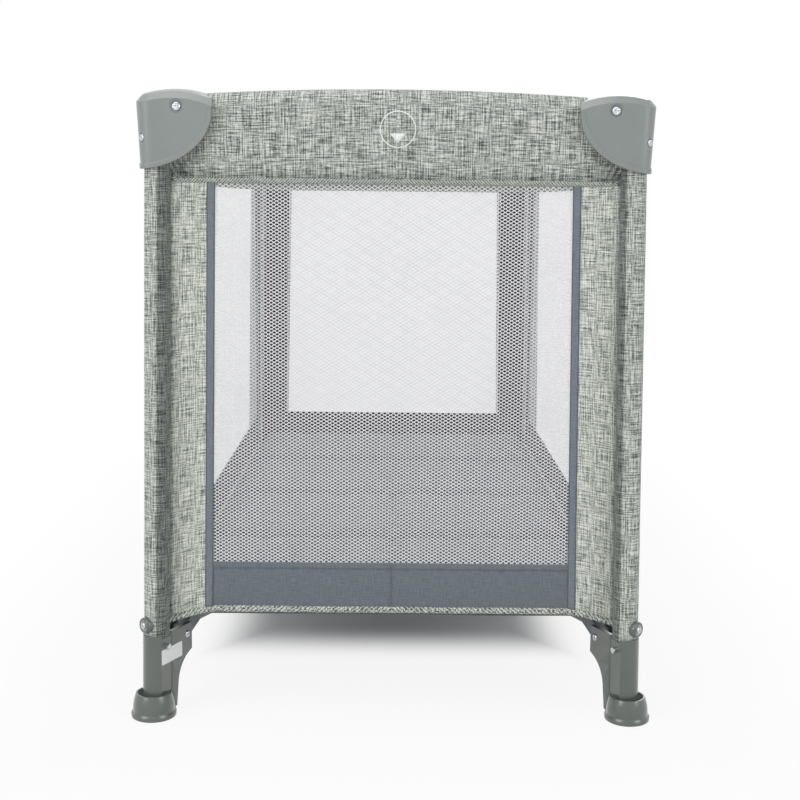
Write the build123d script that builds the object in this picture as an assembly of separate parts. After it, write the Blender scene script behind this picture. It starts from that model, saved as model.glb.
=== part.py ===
from build123d import *
import os
from math import atan2, cos, degrees, hypot, radians, sin, tan

# Folding travel cot, in millimetres. +Z is up, +Y runs along the cot, +X across it, and the
# origin is on the floor under the middle. Everything is drawn for the corner at +X +Y and
# mirrored to the other three.

# ---- posts -----------------------------------------------------------------------------
RAIL_Z = 736.5            # height of the top rails' pivots
POST_X = 278.0            # post axis from the middle, at the height of the rails
POST_Y = 578.0
POST_SPLAY = 0.9          # degrees that each post leans outwards, both ways
POST_R = 12.7
POST_WALL = 1.2
POST_TOP_UP = 9.5
POST_TOP_Z = RAIL_Z + POST_TOP_UP
POST_END_Z = 36.0
SLIDE_GAP = 0.2           # post in its sockets
RUN_GAP = 0.05            # pin in a bore that turns on it
SIDE_GAP = 0.3            # each side of a part that swings between two cheeks
CLOTH_GAP = 0.3           # cloth to what it lies on

# ---- corner housings -------------------------------------------------------------------
HOUSING_FACE = 24.6       # outer faces at the crown, out from the post axis
HOUSING_REACH = 90.4      # from an outer face to the tip over the rail
HOUSING_WING = 44.0       # thickness of each wing over its rail
HOUSING_SKIN = 3.0
HOUSING_DRAFT = 2.9       # degrees
HOUSING_CORNER_R = 20.0
HOUSING_TIP_DOWN = 3.5    # where the quarter-ellipse underside starts, below the pivots
HOUSING_TIP_Z = RAIL_Z - HOUSING_TIP_DOWN
HOUSING_DROP = 68.0       # depth of that ellipse
CROWN_UP = 26.0
CROWN_Z = HOUSING_TIP_Z + CROWN_UP
CROWN_R = 130.0
CROWN_SKIN = 2.5
CROWN_IN = 45.0           # top of the crown, in from the outer faces
SHOULDER_DROP = 5.4
SHOULDER_IN = 8.0
RIM_WIDTH = 6.0
RIM_PROUD = 1.2
RIM_BEVEL = 1.1           # along the rim's inner edge
SOCKET_WALL = 2.5
SOCKET_DOWN = 46.5
SOCKET_LOW_Z = RAIL_Z - SOCKET_DOWN
BOSS_R = 8.0
LOCK_SCREW_DOWN = 35.5
LOCK_SCREW_Z = RAIL_Z - LOCK_SCREW_DOWN
LOCK_SEAT = 1.2           # depth of the flat that its head bears on
LOCK_RECESS_GAP = 0.6

# ---- screws and pins -------------------------------------------------------------------
PIN_R = 3.0
PIN_HEAD_R = 4.8
PIN_HEAD_H = 1.7
PIN_SHORT = 0.5           # end of a rail pin, inside the housing's inner face
RECESS_R = 6.2            # floor of the dish round a rail pin's head
RECESS_TOP_R = 10.8
RECESS_DEPTH = 3.0
SCREW_R = 2.0
SCREW_HEAD_R = 4.2
SCREW_HEAD_H = 1.7
BUTTON_R = 9.5            # round washer button on each post, over the sleeve
BUTTON_PROUD = 4.5
BUTTON_EDGE_R = 1.5
BUTTON_Z = 117.0
RIVET_HEAD_R = 3.6
RIVET_HEAD_H = 1.6
RIVET_DOWN = 2.0          # rivet through the post, below the arm's pivot

# ---- top rails -------------------------------------------------------------------------
PIVOT_IN = 25.0           # rail pivot, in from the post axis
RAIL_H = 18.0
RAIL_W = 16.0
RAIL_WALL = 1.2
TONGUE_T = 8.0
TONGUE_R = 9.0
TONGUE_LEN = 28.0         # from a pivot to the start of the oval tube
END_LATCH_HALF = 16.0     # latch pivots, out from the middle of an end rail
SIDE_LATCH_HALF = 56.0    # the same on a side rail

# ---- centre latches --------------------------------------------------------------------
LATCH_W = 21.0
LATCH_DOWN = 12.5         # below and above the rail pivots
LATCH_UP = 17.5
LATCH_LOW_Z = RAIL_Z - LATCH_DOWN
LATCH_TOP_Z = RAIL_Z + LATCH_UP
LATCH_SIDE_R = 5.0
LATCH_TOP_R = 2.0
LATCH_ROOF = 2.5
LATCH_FLOOR = 2.5
LATCH_END_R = 11.0
NIB_DEPTH = 2.0
NIB_H = 3.0
NIB_UP = 5.0              # nibs above the latch's underside
BUTTON_TRAVEL = 4.0
PAD_H = 5.0
PAD_W = 13.0
END_PAD_LEN = 22.0
SIDE_PAD_LEN = 46.0
STEM_SIDE = 1.0           # stem to the rail tongues, each side

# ---- feet ------------------------------------------------------------------------------
FOOT_R = 27.5
FOOT_LIP_H = 5.5
FOOT_SHIFT = 3.0          # foot centre, out from the post axis at the floor, both ways
BELL_TOP_R = 21.5
BELL_TOP_Z = 30.0
SHANK_R = 17.0
SHANK_TOP_Z = 104.0
MOUTH_DEPTH = 4.0
WEB_END = 63.5            # web of the foot housing, in from the post axis
WEB_W = 21.2
WEB_LOW_Z = 70.5
WEB_ROOT_IN = 46.0        # where the web's underside turns down into its hollow
WEB_ROOT_Z = 65.5
WEB_HOLLOW_IN = 33.0
WEB_HOLLOW_Z = 54.5
WEB_TOE_IN = 25.5
WEB_TOE_Z = 36.0
WEB_TIP_R = 2.5
SLOT_FLOOR_Z = 77.0

# ---- floor frame -----------------------------------------------------------------------
ARM_PIVOT_IN = 49.5
ARM_PIVOT_Z = 91.0
ARM_LOW_Z = 95.5
ARM_H = 30.0
ARM_W = 15.0
ARM_WALL = 1.5
ARM_LUG_R = 10.0
ARM_BEVEL = 30.0
HUB_LOW_Z = 80.0
HUB_TOP_Z = 121.0
HUB_RIM = 15.0            # hub beyond its pivots, both ways
HUB_CORNER_R = 22.0
HUB_CHEEK = 6.0
HUB_FOOT_R = 26.0
HUB_NECK_R = 14.0
HUB_SPIGOT_R = 9.0
HUB_SPIGOT_H = 16.0
STRAP_W = 30.0
STRAP_T = 1.6
STRAP_LEN = 120.0

# ---- fabric ----------------------------------------------------------------------------
SLEEVE_WALL = 2.5
SLEEVE_TOP_DOWN = 48.5
SLEEVE_TOP_Z = RAIL_Z - SLEEVE_TOP_DOWN
WALL_IN = 0.5             # wall plane, in from the post axis at the height of the rails
WALL_T = 2.4
WALL_TOP_DOWN = 86.7
WALL_TOP_Z = RAIL_Z - WALL_TOP_DOWN
BAND_TOP_Z = 192.0
PIPING_R = 4.2
PIPING_Z = 132.9
END_STRIP = 66.5          # cloth from the post axis to the net, on an end
SIDE_STRIP = 90.5         # the same on a side
NET_T = 0.9
NET_BAR = 14.0            # plain grid that stands for the mesh
NET_ROWS = 8
END_COLUMNS = 4           # in half a wall
SIDE_COLUMNS = 6
FLOOR_LOW_Z = 126.0
FLOOR_T = 2.2
MAT_LOW_Z = 130.5
MAT_H = 25.0
MAT_X = 269.0
MAT_Y = 569.0
MAT_EDGE_R = 9.0
MAT_PANELS = 4
MAT_GROOVE = 5.0
BOARD_T = 3.0
BOARD_MARGIN = 14.0

# ---- rail covers -----------------------------------------------------------------------
COVER_WALL = 2.4
COVER_END_R = 14.8
COVER_END_DOWN = 0.7      # middle of the padding below the rail pivots, at the housing
COVER_END_Z = RAIL_Z - COVER_END_DOWN
COVER_MID_R = 17.0
COVER_MID_UP = 6.5        # the same over the latch
COVER_MID_Z = RAIL_Z + COVER_MID_UP
COVER_LOW_DOWN = 82.3
COVER_LOW_Z = RAIL_Z - COVER_LOW_DOWN
COVER_LOW_R = 3.7
COVER_END_IN = 17.5       # cover's lower end, in from the post axis
COVER_TIP_GAP = 0.6
COVER_ROOM = 3.0          # cover to the bosses in the housing
COVER_SPLIT_DOWN = 4.0    # its long upper part ends this far below the rail pivots
COVER_TIP_IN = HOUSING_REACH - HOUSING_FACE + COVER_TIP_GAP    # its upper end, in from the axis

LOW = (Align.CENTER, Align.CENTER, Align.MIN)

# ---- where the pivots lie --------------------------------------------------------------
# Each floor arm spans as far across as half an end rail and as far along as half a side
# rail, so arms and rails turn through the same angle and every loop stays closed.
SPLAY = tan(radians(POST_SPLAY))
PIVOT_X = POST_X - PIVOT_IN
PIVOT_Y = POST_Y - PIVOT_IN
END_RAIL_LEN = PIVOT_X - END_LATCH_HALF
SIDE_RAIL_LEN = PIVOT_Y - SIDE_LATCH_HALF
ARM_LEN = hypot(END_RAIL_LEN, SIDE_RAIL_LEN)
ARM_TURN = degrees(atan2(SIDE_RAIL_LEN, END_RAIL_LEN))
ARM_DIR = Vector(END_RAIL_LEN, SIDE_RAIL_LEN, 0).normalized()
WALL_X = POST_X - WALL_IN
WALL_Y = POST_Y - WALL_IN
OUTER_X = POST_X + HOUSING_FACE
OUTER_Y = POST_Y + HOUSING_FACE

CORNERS = {
    "front_left": (-1, -1),
    "front_right": (1, -1),
    "back_left": (-1, 1),
    "back_right": (1, 1),
}


def post_point(z):
    """Point on the post axis at height z."""
    out = (RAIL_Z - z) * SPLAY
    return Vector(POST_X + out, POST_Y + out, z)


FOOT_PIVOT = post_point(ARM_PIVOT_Z) - ARM_DIR * ARM_PIVOT_IN
HUB_PIVOT = FOOT_PIVOT - ARM_DIR * ARM_LEN


def rod(start, end, radius):
    """Round rod between two points."""
    along = end - start
    return Plane(origin=start, z_dir=along) * Cylinder(radius, along.length, align=LOW)


def post_rod(low_z, top_z, radius):
    return rod(post_point(low_z), post_point(top_z), radius)


def box_between(x0, x1, y0, y1, z0, z1):
    middle = Pos((x0 + x1) / 2, (y0 + y1) / 2, (z0 + z1) / 2)
    return middle * Box(x1 - x0, y1 - y0, z1 - z0)


def swap_xy(shape):
    """The same shape with its X and Y exchanged."""
    return mirror(shape, Plane(origin=(0, 0, 0), x_dir=(1, 1, 0), z_dir=(1, -1, 0)))


def to_corner(shape, sx, sy):
    if sx < 0:
        shape = mirror(shape, Plane.YZ)
    if sy < 0:
        shape = mirror(shape, Plane.XZ)
    return shape


def save(shapes, name):
    """Write one node: a single solid, or a group of separate solids."""
    solids = [solid for shape in shapes for solid in shape.solids()]
    whole = solids[0] if len(solids) == 1 else Compound(children=solids)
    whole.label = name
    export_step(whole, f"parts/{name}.step")


# ---- corner housing --------------------------------------------------------------------
def wing(grow):
    """Block over the end rail, its outer faces drawn in downwards, open past its tip."""
    reach = 1.5 * HOUSING_REACH
    inner_y = OUTER_Y - HOUSING_WING - min(grow, 0)
    plan = Pos(OUTER_X + grow - reach / 2, OUTER_Y + grow - reach / 2) * Rectangle(reach, reach)
    corner = plan.vertices().sort_by(Axis.X)[-2:].sort_by(Axis.Y)[-1]
    plan = Pos(0, 0, CROWN_Z) * fillet(corner, HOUSING_CORNER_R + grow)
    depth = CROWN_Z - HOUSING_TIP_Z + HOUSING_DROP + 1
    block = extrude(plan, -depth, taper=HOUSING_DRAFT)
    return block & box_between(
        OUTER_X - 1.2 * HOUSING_REACH, 2 * OUTER_X, inner_y, 2 * OUTER_Y, 0, 2 * CROWN_Z
    )


def under_ellipse(shrink):
    """Region inside the quarter-ellipse that trims the wing over the end rail."""
    across = HOUSING_REACH - shrink
    down = HOUSING_DROP - shrink
    curve = EllipticalCenterArc(
        (OUTER_X + RIM_PROUD, HOUSING_TIP_Z), across + RIM_PROUD, down, 180, arc_size=90
    )
    tip = Vector(OUTER_X - across, HOUSING_TIP_Z)
    bottom = Vector(OUTER_X + RIM_PROUD, HOUSING_TIP_Z - down)
    roof = CROWN_Z + 5
    rest = Polyline(
        bottom, (OUTER_X + 5, HOUSING_TIP_Z - down), (OUTER_X + 5, roof), (tip.X, roof), tip
    )
    face = make_face([curve, rest])
    return extrude(Plane.XZ * face, -(OUTER_Y + 20))


def crown(shrink):
    centre = Pos(OUTER_X - CROWN_IN, OUTER_Y - CROWN_IN, CROWN_Z - CROWN_R)
    return centre * Sphere(CROWN_R - shrink)


def shoulder(block, face_x, face_y):
    """Bevels the crown's outer edges down to the outer faces."""
    top = block.faces().sort_by(Axis.Z)[-1]
    outer_top = [
        edge
        for edge in top.edges()
        if edge.center().X > face_x - SHOULDER_IN or edge.center().Y > face_y - SHOULDER_IN
    ]
    return chamfer(outer_top, SHOULDER_IN, SHOULDER_DROP, reference=top)


def rim():
    """Raised rim along the curved lower edge, its inner edge bevelled."""
    band = wing(RIM_PROUD) & under_ellipse(0)
    band -= under_ellipse(RIM_WIDTH)
    band -= box_between(0, 2 * OUTER_X, 0, 2 * OUTER_Y, HOUSING_TIP_Z, 2 * CROWN_Z)
    across = HOUSING_REACH - RIM_WIDTH + RIM_PROUD
    down = HOUSING_DROP - RIM_WIDTH
    inner_edges = []
    for edge in band.edges():
        place = edge @ 0.5
        share_x = (OUTER_X + RIM_PROUD - place.X) / across
        share_z = (HOUSING_TIP_Z - place.Z) / down
        on_curve = abs(hypot(share_x, share_z) - 1) < 0.01
        if on_curve and place.Y > OUTER_Y - HOUSING_WING / 2:
            inner_edges.append(edge)
    return chamfer(inner_edges, RIM_BEVEL)


def corner_housing():
    wings = wing(0) + swap_wing(wing(0))
    trim = under_ellipse(0) & swap_wing(under_ellipse(0))
    body = shoulder(wings & trim & crown(0), OUTER_X, OUTER_Y)
    band = rim()
    body = body + ((band + swap_wing(band)) & trim)
    room = (wing(-HOUSING_SKIN) + swap_wing(wing(-HOUSING_SKIN))) & crown(CROWN_SKIN)
    body -= shoulder(room, OUTER_X - HOUSING_SKIN, OUTER_Y - HOUSING_SKIN)
    skin_out = OUTER_Y - HOUSING_SKIN
    skin_in = OUTER_Y - HOUSING_WING + HOUSING_SKIN
    cheek = TONGUE_T / 2 + SIDE_GAP
    bosses = rod(
        Vector(PIVOT_X, POST_Y + cheek, RAIL_Z), Vector(PIVOT_X, skin_out + 1, RAIL_Z), BOSS_R
    )
    bosses += rod(
        Vector(PIVOT_X, skin_in - 1, RAIL_Z), Vector(PIVOT_X, POST_Y - cheek, RAIL_Z), BOSS_R
    )
    socket_r = POST_R + SLIDE_GAP + SOCKET_WALL
    socket = post_rod(SOCKET_LOW_Z, CROWN_Z, socket_r)
    half_rib = SOCKET_WALL / 2
    rib = box_between(
        POST_X - half_rib, POST_X + half_rib,
        POST_Y + POST_R, skin_out + HOUSING_SKIN / 2, SOCKET_LOW_Z, HOUSING_TIP_Z
    )
    inside = wing(-HOUSING_SKIN / 2) & crown(CROWN_SKIN / 2)
    inside = shoulder(
        inside + swap_wing(inside), OUTER_X - HOUSING_SKIN / 2, OUTER_Y - HOUSING_SKIN / 2
    )
    fittings = (bosses + swap_wing(bosses) + socket + rib + swap_wing(rib)) & inside
    body = body + fittings
    body = body - post_rod(SOCKET_LOW_Z - 1, POST_TOP_Z + SLIDE_GAP, POST_R + SLIDE_GAP)
    pin_hole = rod(
        Vector(PIVOT_X, POST_Y - HOUSING_WING, RAIL_Z),
        Vector(PIVOT_X, OUTER_Y + 1, RAIL_Z),
        PIN_R,
    )
    floor = Plane(origin=(PIVOT_X, OUTER_Y - RECESS_DEPTH, RAIL_Z), z_dir=(0, 1, 0))
    dish = floor * Cone(RECESS_R, RECESS_TOP_R, 4, align=LOW)
    body = body - pin_hole - dish - swap_wing(pin_hole) - swap_wing(dish)
    return body - lock_screw(0, 0) - lock_recess()


def swap_wing(shape):
    """Wing over the end rail turned into the wing over the side rail."""
    moved = Pos(-POST_X, -POST_Y, 0) * shape
    return Pos(POST_X, POST_Y, 0) * swap_xy(moved)


def outward(z, reach):
    """Point at height z, out from the post axis along the corner's diagonal."""
    return post_point(z) + Vector(1, 1, 0).normalized() * reach


def corner_reach(z):
    """From the post axis to the housing's rounded corner, along the diagonal."""
    drawn_in = (CROWN_Z - z) * tan(radians(HOUSING_DRAFT))
    square = HOUSING_FACE - drawn_in - (RAIL_Z - z) * SPLAY
    corner_r = HOUSING_CORNER_R - drawn_in
    return (square - corner_r) * 2**0.5 + corner_r


def lock_screw(head_r, head_h):
    """Shank, and head if it has a size, of the screw that holds the post in its socket."""
    seat = corner_reach(LOCK_SCREW_Z) - LOCK_SEAT
    shank = rod(
        outward(LOCK_SCREW_Z, POST_R - 2 * POST_WALL), outward(LOCK_SCREW_Z, seat), SCREW_R
    )
    if head_h == 0:
        return shank
    head = rod(outward(LOCK_SCREW_Z, seat), outward(LOCK_SCREW_Z, seat + head_h), head_r)
    crown_edge = head.edges().sort_by_distance(outward(LOCK_SCREW_Z, 3 * seat))[0]
    return shank + fillet(crown_edge, head_h * 0.6)


def lock_recess():
    seat = corner_reach(LOCK_SCREW_Z) - LOCK_SEAT
    return rod(
        outward(LOCK_SCREW_Z, seat),
        outward(LOCK_SCREW_Z, seat + 4 * LOCK_SEAT),
        SCREW_HEAD_R + LOCK_RECESS_GAP,
    )


# ---- post ------------------------------------------------------------------------------
def post():
    tube = post_rod(POST_END_Z, POST_TOP_Z, POST_R)
    tube -= post_rod(POST_END_Z - 1, POST_TOP_Z + 1, POST_R - POST_WALL)
    tube -= lock_screw(0, 0)
    tube -= button_screw_hole()
    return tube - shank_rivet(PIN_R)


# ---- foot housing ----------------------------------------------------------------------
def web_plane():
    """Upright plane along the floor arm: its x runs inwards from the post, its y is up."""
    base = post_point(ARM_PIVOT_Z)
    return Plane(
        origin=(base.X, base.Y, 0), x_dir=-ARM_DIR, z_dir=Vector(0, 0, 1).cross(ARM_DIR)
    )


def slab(face, width):
    """Face drawn on the web plane, thickened evenly to both sides."""
    return extrude(web_plane() * face, width / 2, both=True)


def foot_web_face():
    top = Polyline(
        (0, FOOT_LIP_H), (0, SHANK_TOP_Z), (WEB_END, SHANK_TOP_Z), (WEB_END, WEB_LOW_Z),
        (WEB_ROOT_IN, WEB_ROOT_Z)
    )
    hollow = ThreePointArc(
        (WEB_ROOT_IN, WEB_ROOT_Z), (WEB_HOLLOW_IN, WEB_HOLLOW_Z), (WEB_TOE_IN, WEB_TOE_Z)
    )
    down = Polyline((WEB_TOE_IN, WEB_TOE_Z), (BELL_TOP_R, FOOT_LIP_H), (0, FOOT_LIP_H))
    return make_face([top, hollow, down])


def foot_housing():
    at_floor = post_point(0)
    centre = Pos(at_floor.X + FOOT_SHIFT, at_floor.Y + FOOT_SHIFT)
    outline = Polyline(
        (0, 0), (FOOT_R - 1, 0), (FOOT_R, 1), (FOOT_R, FOOT_LIP_H), (FOOT_R - 2, FOOT_LIP_H + 1)
    )
    dome = ThreePointArc(
        (FOOT_R - 2, FOOT_LIP_H + 1),
        (BELL_TOP_R + 3, (FOOT_LIP_H + BELL_TOP_Z) / 2 + 2),
        (BELL_TOP_R, BELL_TOP_Z),
    )
    cup = Polyline(
        (BELL_TOP_R, BELL_TOP_Z), (BELL_TOP_R - 2, BELL_TOP_Z), (SHANK_R - 4, BELL_TOP_Z - 6),
        (0, BELL_TOP_Z - 6), (0, 0)
    )
    bell = centre * revolve(Plane.XZ * make_face([outline, dome, cup]), Axis.Z)
    web = slab(foot_web_face(), WEB_W)
    tips = web.edges().filter_by(Axis.Z).sort_by(Axis.Y)[:2]
    web = fillet(tips, WEB_TIP_R)
    shank = post_rod(BELL_TOP_Z - 8, SHANK_TOP_Z, SHANK_R)
    rim = shank.edges().sort_by(Axis.Z)[-1]
    shank = chamfer(rim, 1.2)
    body = bell + web + shank
    body -= post_rod(POST_END_Z, SHANK_TOP_Z + 2, POST_R + SLIDE_GAP)
    mouth_r = POST_R + CLOTH_GAP + SLEEVE_WALL + CLOTH_GAP
    body -= post_rod(SHANK_TOP_Z - MOUTH_DEPTH, SHANK_TOP_Z + 2, mouth_r)
    middle = (SHANK_R + WEB_END + 10) / 2
    slot = Pos(middle, (SLOT_FLOOR_Z + SHANK_TOP_Z + 10) / 2) * Rectangle(
        WEB_END + 10 - SHANK_R, SHANK_TOP_Z + 10 - SLOT_FLOOR_Z
    )
    body -= slab(slot, ARM_W + 2 * SIDE_GAP)
    body -= arm_pin(FOOT_PIVOT, WEB_W, PIN_R)
    return body - shank_rivet(PIN_R)


def arm_pin(pivot, length, radius):
    """Pin across the web plane through a pivot of the floor arm."""
    across = Vector(0, 0, 1).cross(ARM_DIR) * (length / 2)
    return rod(pivot - across, pivot + across, radius)


def rivet_heads(pivot, length):
    across = Vector(0, 0, 1).cross(ARM_DIR)
    heads = rod(
        pivot + across * (length / 2), pivot + across * (length / 2 + RIVET_HEAD_H), RIVET_HEAD_R
    )
    heads += rod(
        pivot - across * (length / 2 + RIVET_HEAD_H), pivot - across * (length / 2), RIVET_HEAD_R
    )
    return heads


def shank_rivet(radius):
    return arm_pin(post_point(ARM_PIVOT_Z - RIVET_DOWN), 2 * SHANK_R + CLOTH_GAP, radius)


# ---- screws, rivets and the round button of one leg ------------------------------------
def rail_pin():
    """Screw that the end rail turns on, its head in the recess of the front face."""
    seat_y = OUTER_Y - RECESS_DEPTH
    shank = rod(
        Vector(PIVOT_X, OUTER_Y - HOUSING_WING + PIN_SHORT, RAIL_Z),
        Vector(PIVOT_X, seat_y, RAIL_Z),
        PIN_R,
    )
    head = rod(
        Vector(PIVOT_X, seat_y, RAIL_Z), Vector(PIVOT_X, seat_y + PIN_HEAD_H, RAIL_Z), PIN_HEAD_R
    )
    face_edge = head.edges().sort_by(Axis.Y)[-1]
    return shank + fillet(face_edge, PIN_HEAD_H * 0.6)


def button_screw_hole():
    return rod(outward(BUTTON_Z, 5), outward(BUTTON_Z, POST_R + SLEEVE_WALL + 5), SCREW_R)


def washer_button():
    inner = POST_R + CLOTH_GAP + SLEEVE_WALL
    disc = rod(
        outward(BUTTON_Z, inner - SLEEVE_WALL), outward(BUTTON_Z, inner + BUTTON_PROUD), BUTTON_R
    )
    rim = disc.edges().sort_by_distance(outward(BUTTON_Z, 4 * inner))[0]
    disc = fillet(rim, BUTTON_EDGE_R)
    disc -= post_rod(BUTTON_Z - 2 * BUTTON_R, BUTTON_Z + 2 * BUTTON_R, inner + CLOTH_GAP)
    return disc - button_screw_hole()


def button_screw():
    seat = POST_R + CLOTH_GAP + SLEEVE_WALL + BUTTON_PROUD
    shank = rod(
        outward(BUTTON_Z, POST_R - 2 * POST_WALL),
        outward(BUTTON_Z, seat + SCREW_HEAD_H / 4),
        SCREW_R,
    )
    head = rod(outward(BUTTON_Z, seat), outward(BUTTON_Z, seat + SCREW_HEAD_H), SCREW_HEAD_R)
    rim = head.edges().sort_by_distance(outward(BUTTON_Z, 4 * seat))[0]
    return shank + fillet(rim, SCREW_HEAD_H * 0.6)


def leg_fasteners():
    arm_rivet = arm_pin(FOOT_PIVOT, WEB_W, PIN_R) + rivet_heads(FOOT_PIVOT, WEB_W)
    post_rivet = shank_rivet(PIN_R) + rivet_heads(
        post_point(ARM_PIVOT_Z - RIVET_DOWN), 2 * SHANK_R + CLOTH_GAP
    )
    return [
        rail_pin(),
        swap_wing(rail_pin()),
        lock_screw(SCREW_HEAD_R, SCREW_HEAD_H),
        washer_button(),
        button_screw(),
        arm_rivet,
        post_rivet,
    ]


# ---- floor arm -------------------------------------------------------------------------
def arm_profile(inset):
    """Side view of the flat-oval tube with its bevelled ends, less a wall."""
    low = ARM_LOW_Z + inset
    top = ARM_LOW_Z + ARM_H - inset
    near = ARM_PIVOT_IN
    far = ARM_PIVOT_IN + ARM_LEN
    slope = ARM_BEVEL / ARM_H * inset
    return Polyline(
        (near + slope, low), (far - slope, low), (far - ARM_BEVEL + slope, top),
        (near + ARM_BEVEL - slope, top), close=True
    )


def floor_arm():
    tube = slab(make_face(arm_profile(0)), ARM_W)
    long_edges = [
        edge for edge in tube.edges() if edge.length > ARM_LEN - 3 * ARM_BEVEL
    ]
    tube = fillet(long_edges, ARM_W / 2 - 0.5)
    core_w = ARM_W - 2 * ARM_WALL
    core = slab(make_face(arm_profile(ARM_WALL)), core_w)
    core_edges = [
        edge for edge in core.edges() if edge.length > ARM_LEN - 3 * ARM_BEVEL
    ]
    tube -= fillet(core_edges, core_w / 2 - 0.5)
    lug_w = ARM_W
    for reach, side in ((ARM_PIVOT_IN, 1), (ARM_PIVOT_IN + ARM_LEN, -1)):
        ear = Pos(reach, ARM_PIVOT_Z) * Circle(ARM_LUG_R)
        strap = Polyline(
            (reach - side * ARM_LUG_R, ARM_PIVOT_Z),
            (reach - side * 2, ARM_LOW_Z + 3),
            (reach + side * 16, ARM_LOW_Z + 14),
            (reach + side * 34, ARM_LOW_Z + 3),
            (reach + side * ARM_LUG_R * 0.6, ARM_PIVOT_Z - ARM_LUG_R * 0.8),
            close=True,
        )
        tube += slab(ear, lug_w) + slab(make_face(strap), lug_w)
    for pivot in (FOOT_PIVOT, HUB_PIVOT):
        tube -= arm_pin(pivot, 3 * ARM_W, PIN_R + RUN_GAP)
    return tube


# ---- hub -------------------------------------------------------------------------------
def hub_slot():
    """Slot in which the arm of this corner swings, open below, above and outwards."""
    far = ARM_PIVOT_IN + ARM_LEN
    opening = Pos(far - 30 + ARM_LUG_R + 2, (HUB_LOW_Z + HUB_TOP_Z) / 2) * Rectangle(
        60, HUB_TOP_Z - HUB_LOW_Z + 20
    )
    return slab(opening, ARM_W + 2 * SIDE_GAP)


def hub():
    half_x = HUB_PIVOT.X + HUB_RIM
    half_y = HUB_PIVOT.Y + HUB_RIM
    plan = RectangleRounded(2 * half_x, 2 * half_y, HUB_CORNER_R)
    body = extrude(Pos(0, 0, HUB_LOW_Z) * plan, HUB_TOP_Z - HUB_LOW_Z)
    body = fillet(body.faces().sort_by(Axis.Z)[-1].edges(), 3)
    pin_len = ARM_W + 2 * SIDE_GAP + 2 * HUB_CHEEK
    for sx, sy in CORNERS.values():
        body -= to_corner(hub_slot(), sx, sy)
        body -= to_corner(arm_pin(HUB_PIVOT, pin_len, PIN_R), sx, sy)
    body -= Pos(0, 0, HUB_LOW_Z) * Cylinder(HUB_SPIGOT_R + SLIDE_GAP, HUB_SPIGOT_H, align=LOW)
    pocket = Pos(0, 0, HUB_TOP_Z - 14) * Box(
        STRAP_T + 2 * CLOTH_GAP, STRAP_W + 2 * CLOTH_GAP, 20, align=LOW
    )
    return body - pocket


def hub_foot():
    shaft = Polyline(
        (0, 0), (HUB_FOOT_R - 1.5, 0), (HUB_FOOT_R, 1.5), (HUB_FOOT_R, 6), (HUB_FOOT_R - 3, 8)
    )
    flare = ThreePointArc(
        (HUB_FOOT_R - 3, 8), (HUB_NECK_R + 1.5, 28), (HUB_NECK_R, HUB_LOW_Z)
    )
    spigot = Polyline(
        (HUB_NECK_R, HUB_LOW_Z), (HUB_SPIGOT_R, HUB_LOW_Z),
        (HUB_SPIGOT_R, HUB_LOW_Z + HUB_SPIGOT_H - 1), (0, HUB_LOW_Z + HUB_SPIGOT_H - 1), (0, 0)
    )
    return revolve(Plane.XZ * make_face([shaft, flare, spigot]), Axis.Z)


def hub_pins():
    length = ARM_W + 2 * SIDE_GAP + 2 * HUB_CHEEK
    return [to_corner(arm_pin(HUB_PIVOT, length, PIN_R), *way) for way in CORNERS.values()]


def pull_strap():
    """Webbing that stands in the hub's pocket and lies flat on the floor cloth."""
    flat_z = FLOOR_LOW_Z + FLOOR_T + CLOTH_GAP + STRAP_T / 2
    path = FilletPolyline(
        (0, 0, HUB_TOP_Z - 13.5), (0, 0, flat_z), (STRAP_LEN, 0, flat_z), radius=4
    )
    section = Plane(origin=path @ 0, z_dir=path % 0) * Rectangle(STRAP_T, STRAP_W)
    return sweep(section, path=path)


# ---- top rails -------------------------------------------------------------------------
def end_half_rail():
    """Half of an end rail: oval steel tube with a flat tongue at each end."""
    low = RAIL_Z - RAIL_H / 2
    start = END_LATCH_HALF
    return half_rail(start, PIVOT_X, low)


def half_rail(start, end, low):
    tube = box_between(
        start + TONGUE_LEN, end - TONGUE_LEN, -RAIL_W / 2, RAIL_W / 2, low, low + RAIL_H
    )
    tube = fillet(tube.edges().filter_by(Axis.X), RAIL_W / 2 - 0.4)
    bore = box_between(
        start + TONGUE_LEN + 12, end - TONGUE_LEN - 12,
        -RAIL_W / 2 + RAIL_WALL, RAIL_W / 2 - RAIL_WALL, low + RAIL_WALL, low + RAIL_H - RAIL_WALL
    )
    tube -= fillet(bore.edges().filter_by(Axis.X), RAIL_W / 2 - RAIL_WALL - 0.4)
    half = TONGUE_T / 2
    for pivot, side in ((start, 1), (end, -1)):
        ear = rod(Vector(pivot, -half, RAIL_Z), Vector(pivot, half, RAIL_Z), TONGUE_R)
        reach = pivot + side * (TONGUE_LEN + 6)
        tongue = box_between(
            min(pivot, reach), max(pivot, reach), -half, half,
            RAIL_Z - TONGUE_R, RAIL_Z + TONGUE_R
        )
        bore = rod(Vector(pivot, -half, RAIL_Z), Vector(pivot, half, RAIL_Z), PIN_R + RUN_GAP)
        tube = tube + ear + tongue - bore
    return tube


def side_half_rail():
    return half_rail(SIDE_LATCH_HALF, PIVOT_Y, RAIL_Z - RAIL_H / 2)


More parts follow.
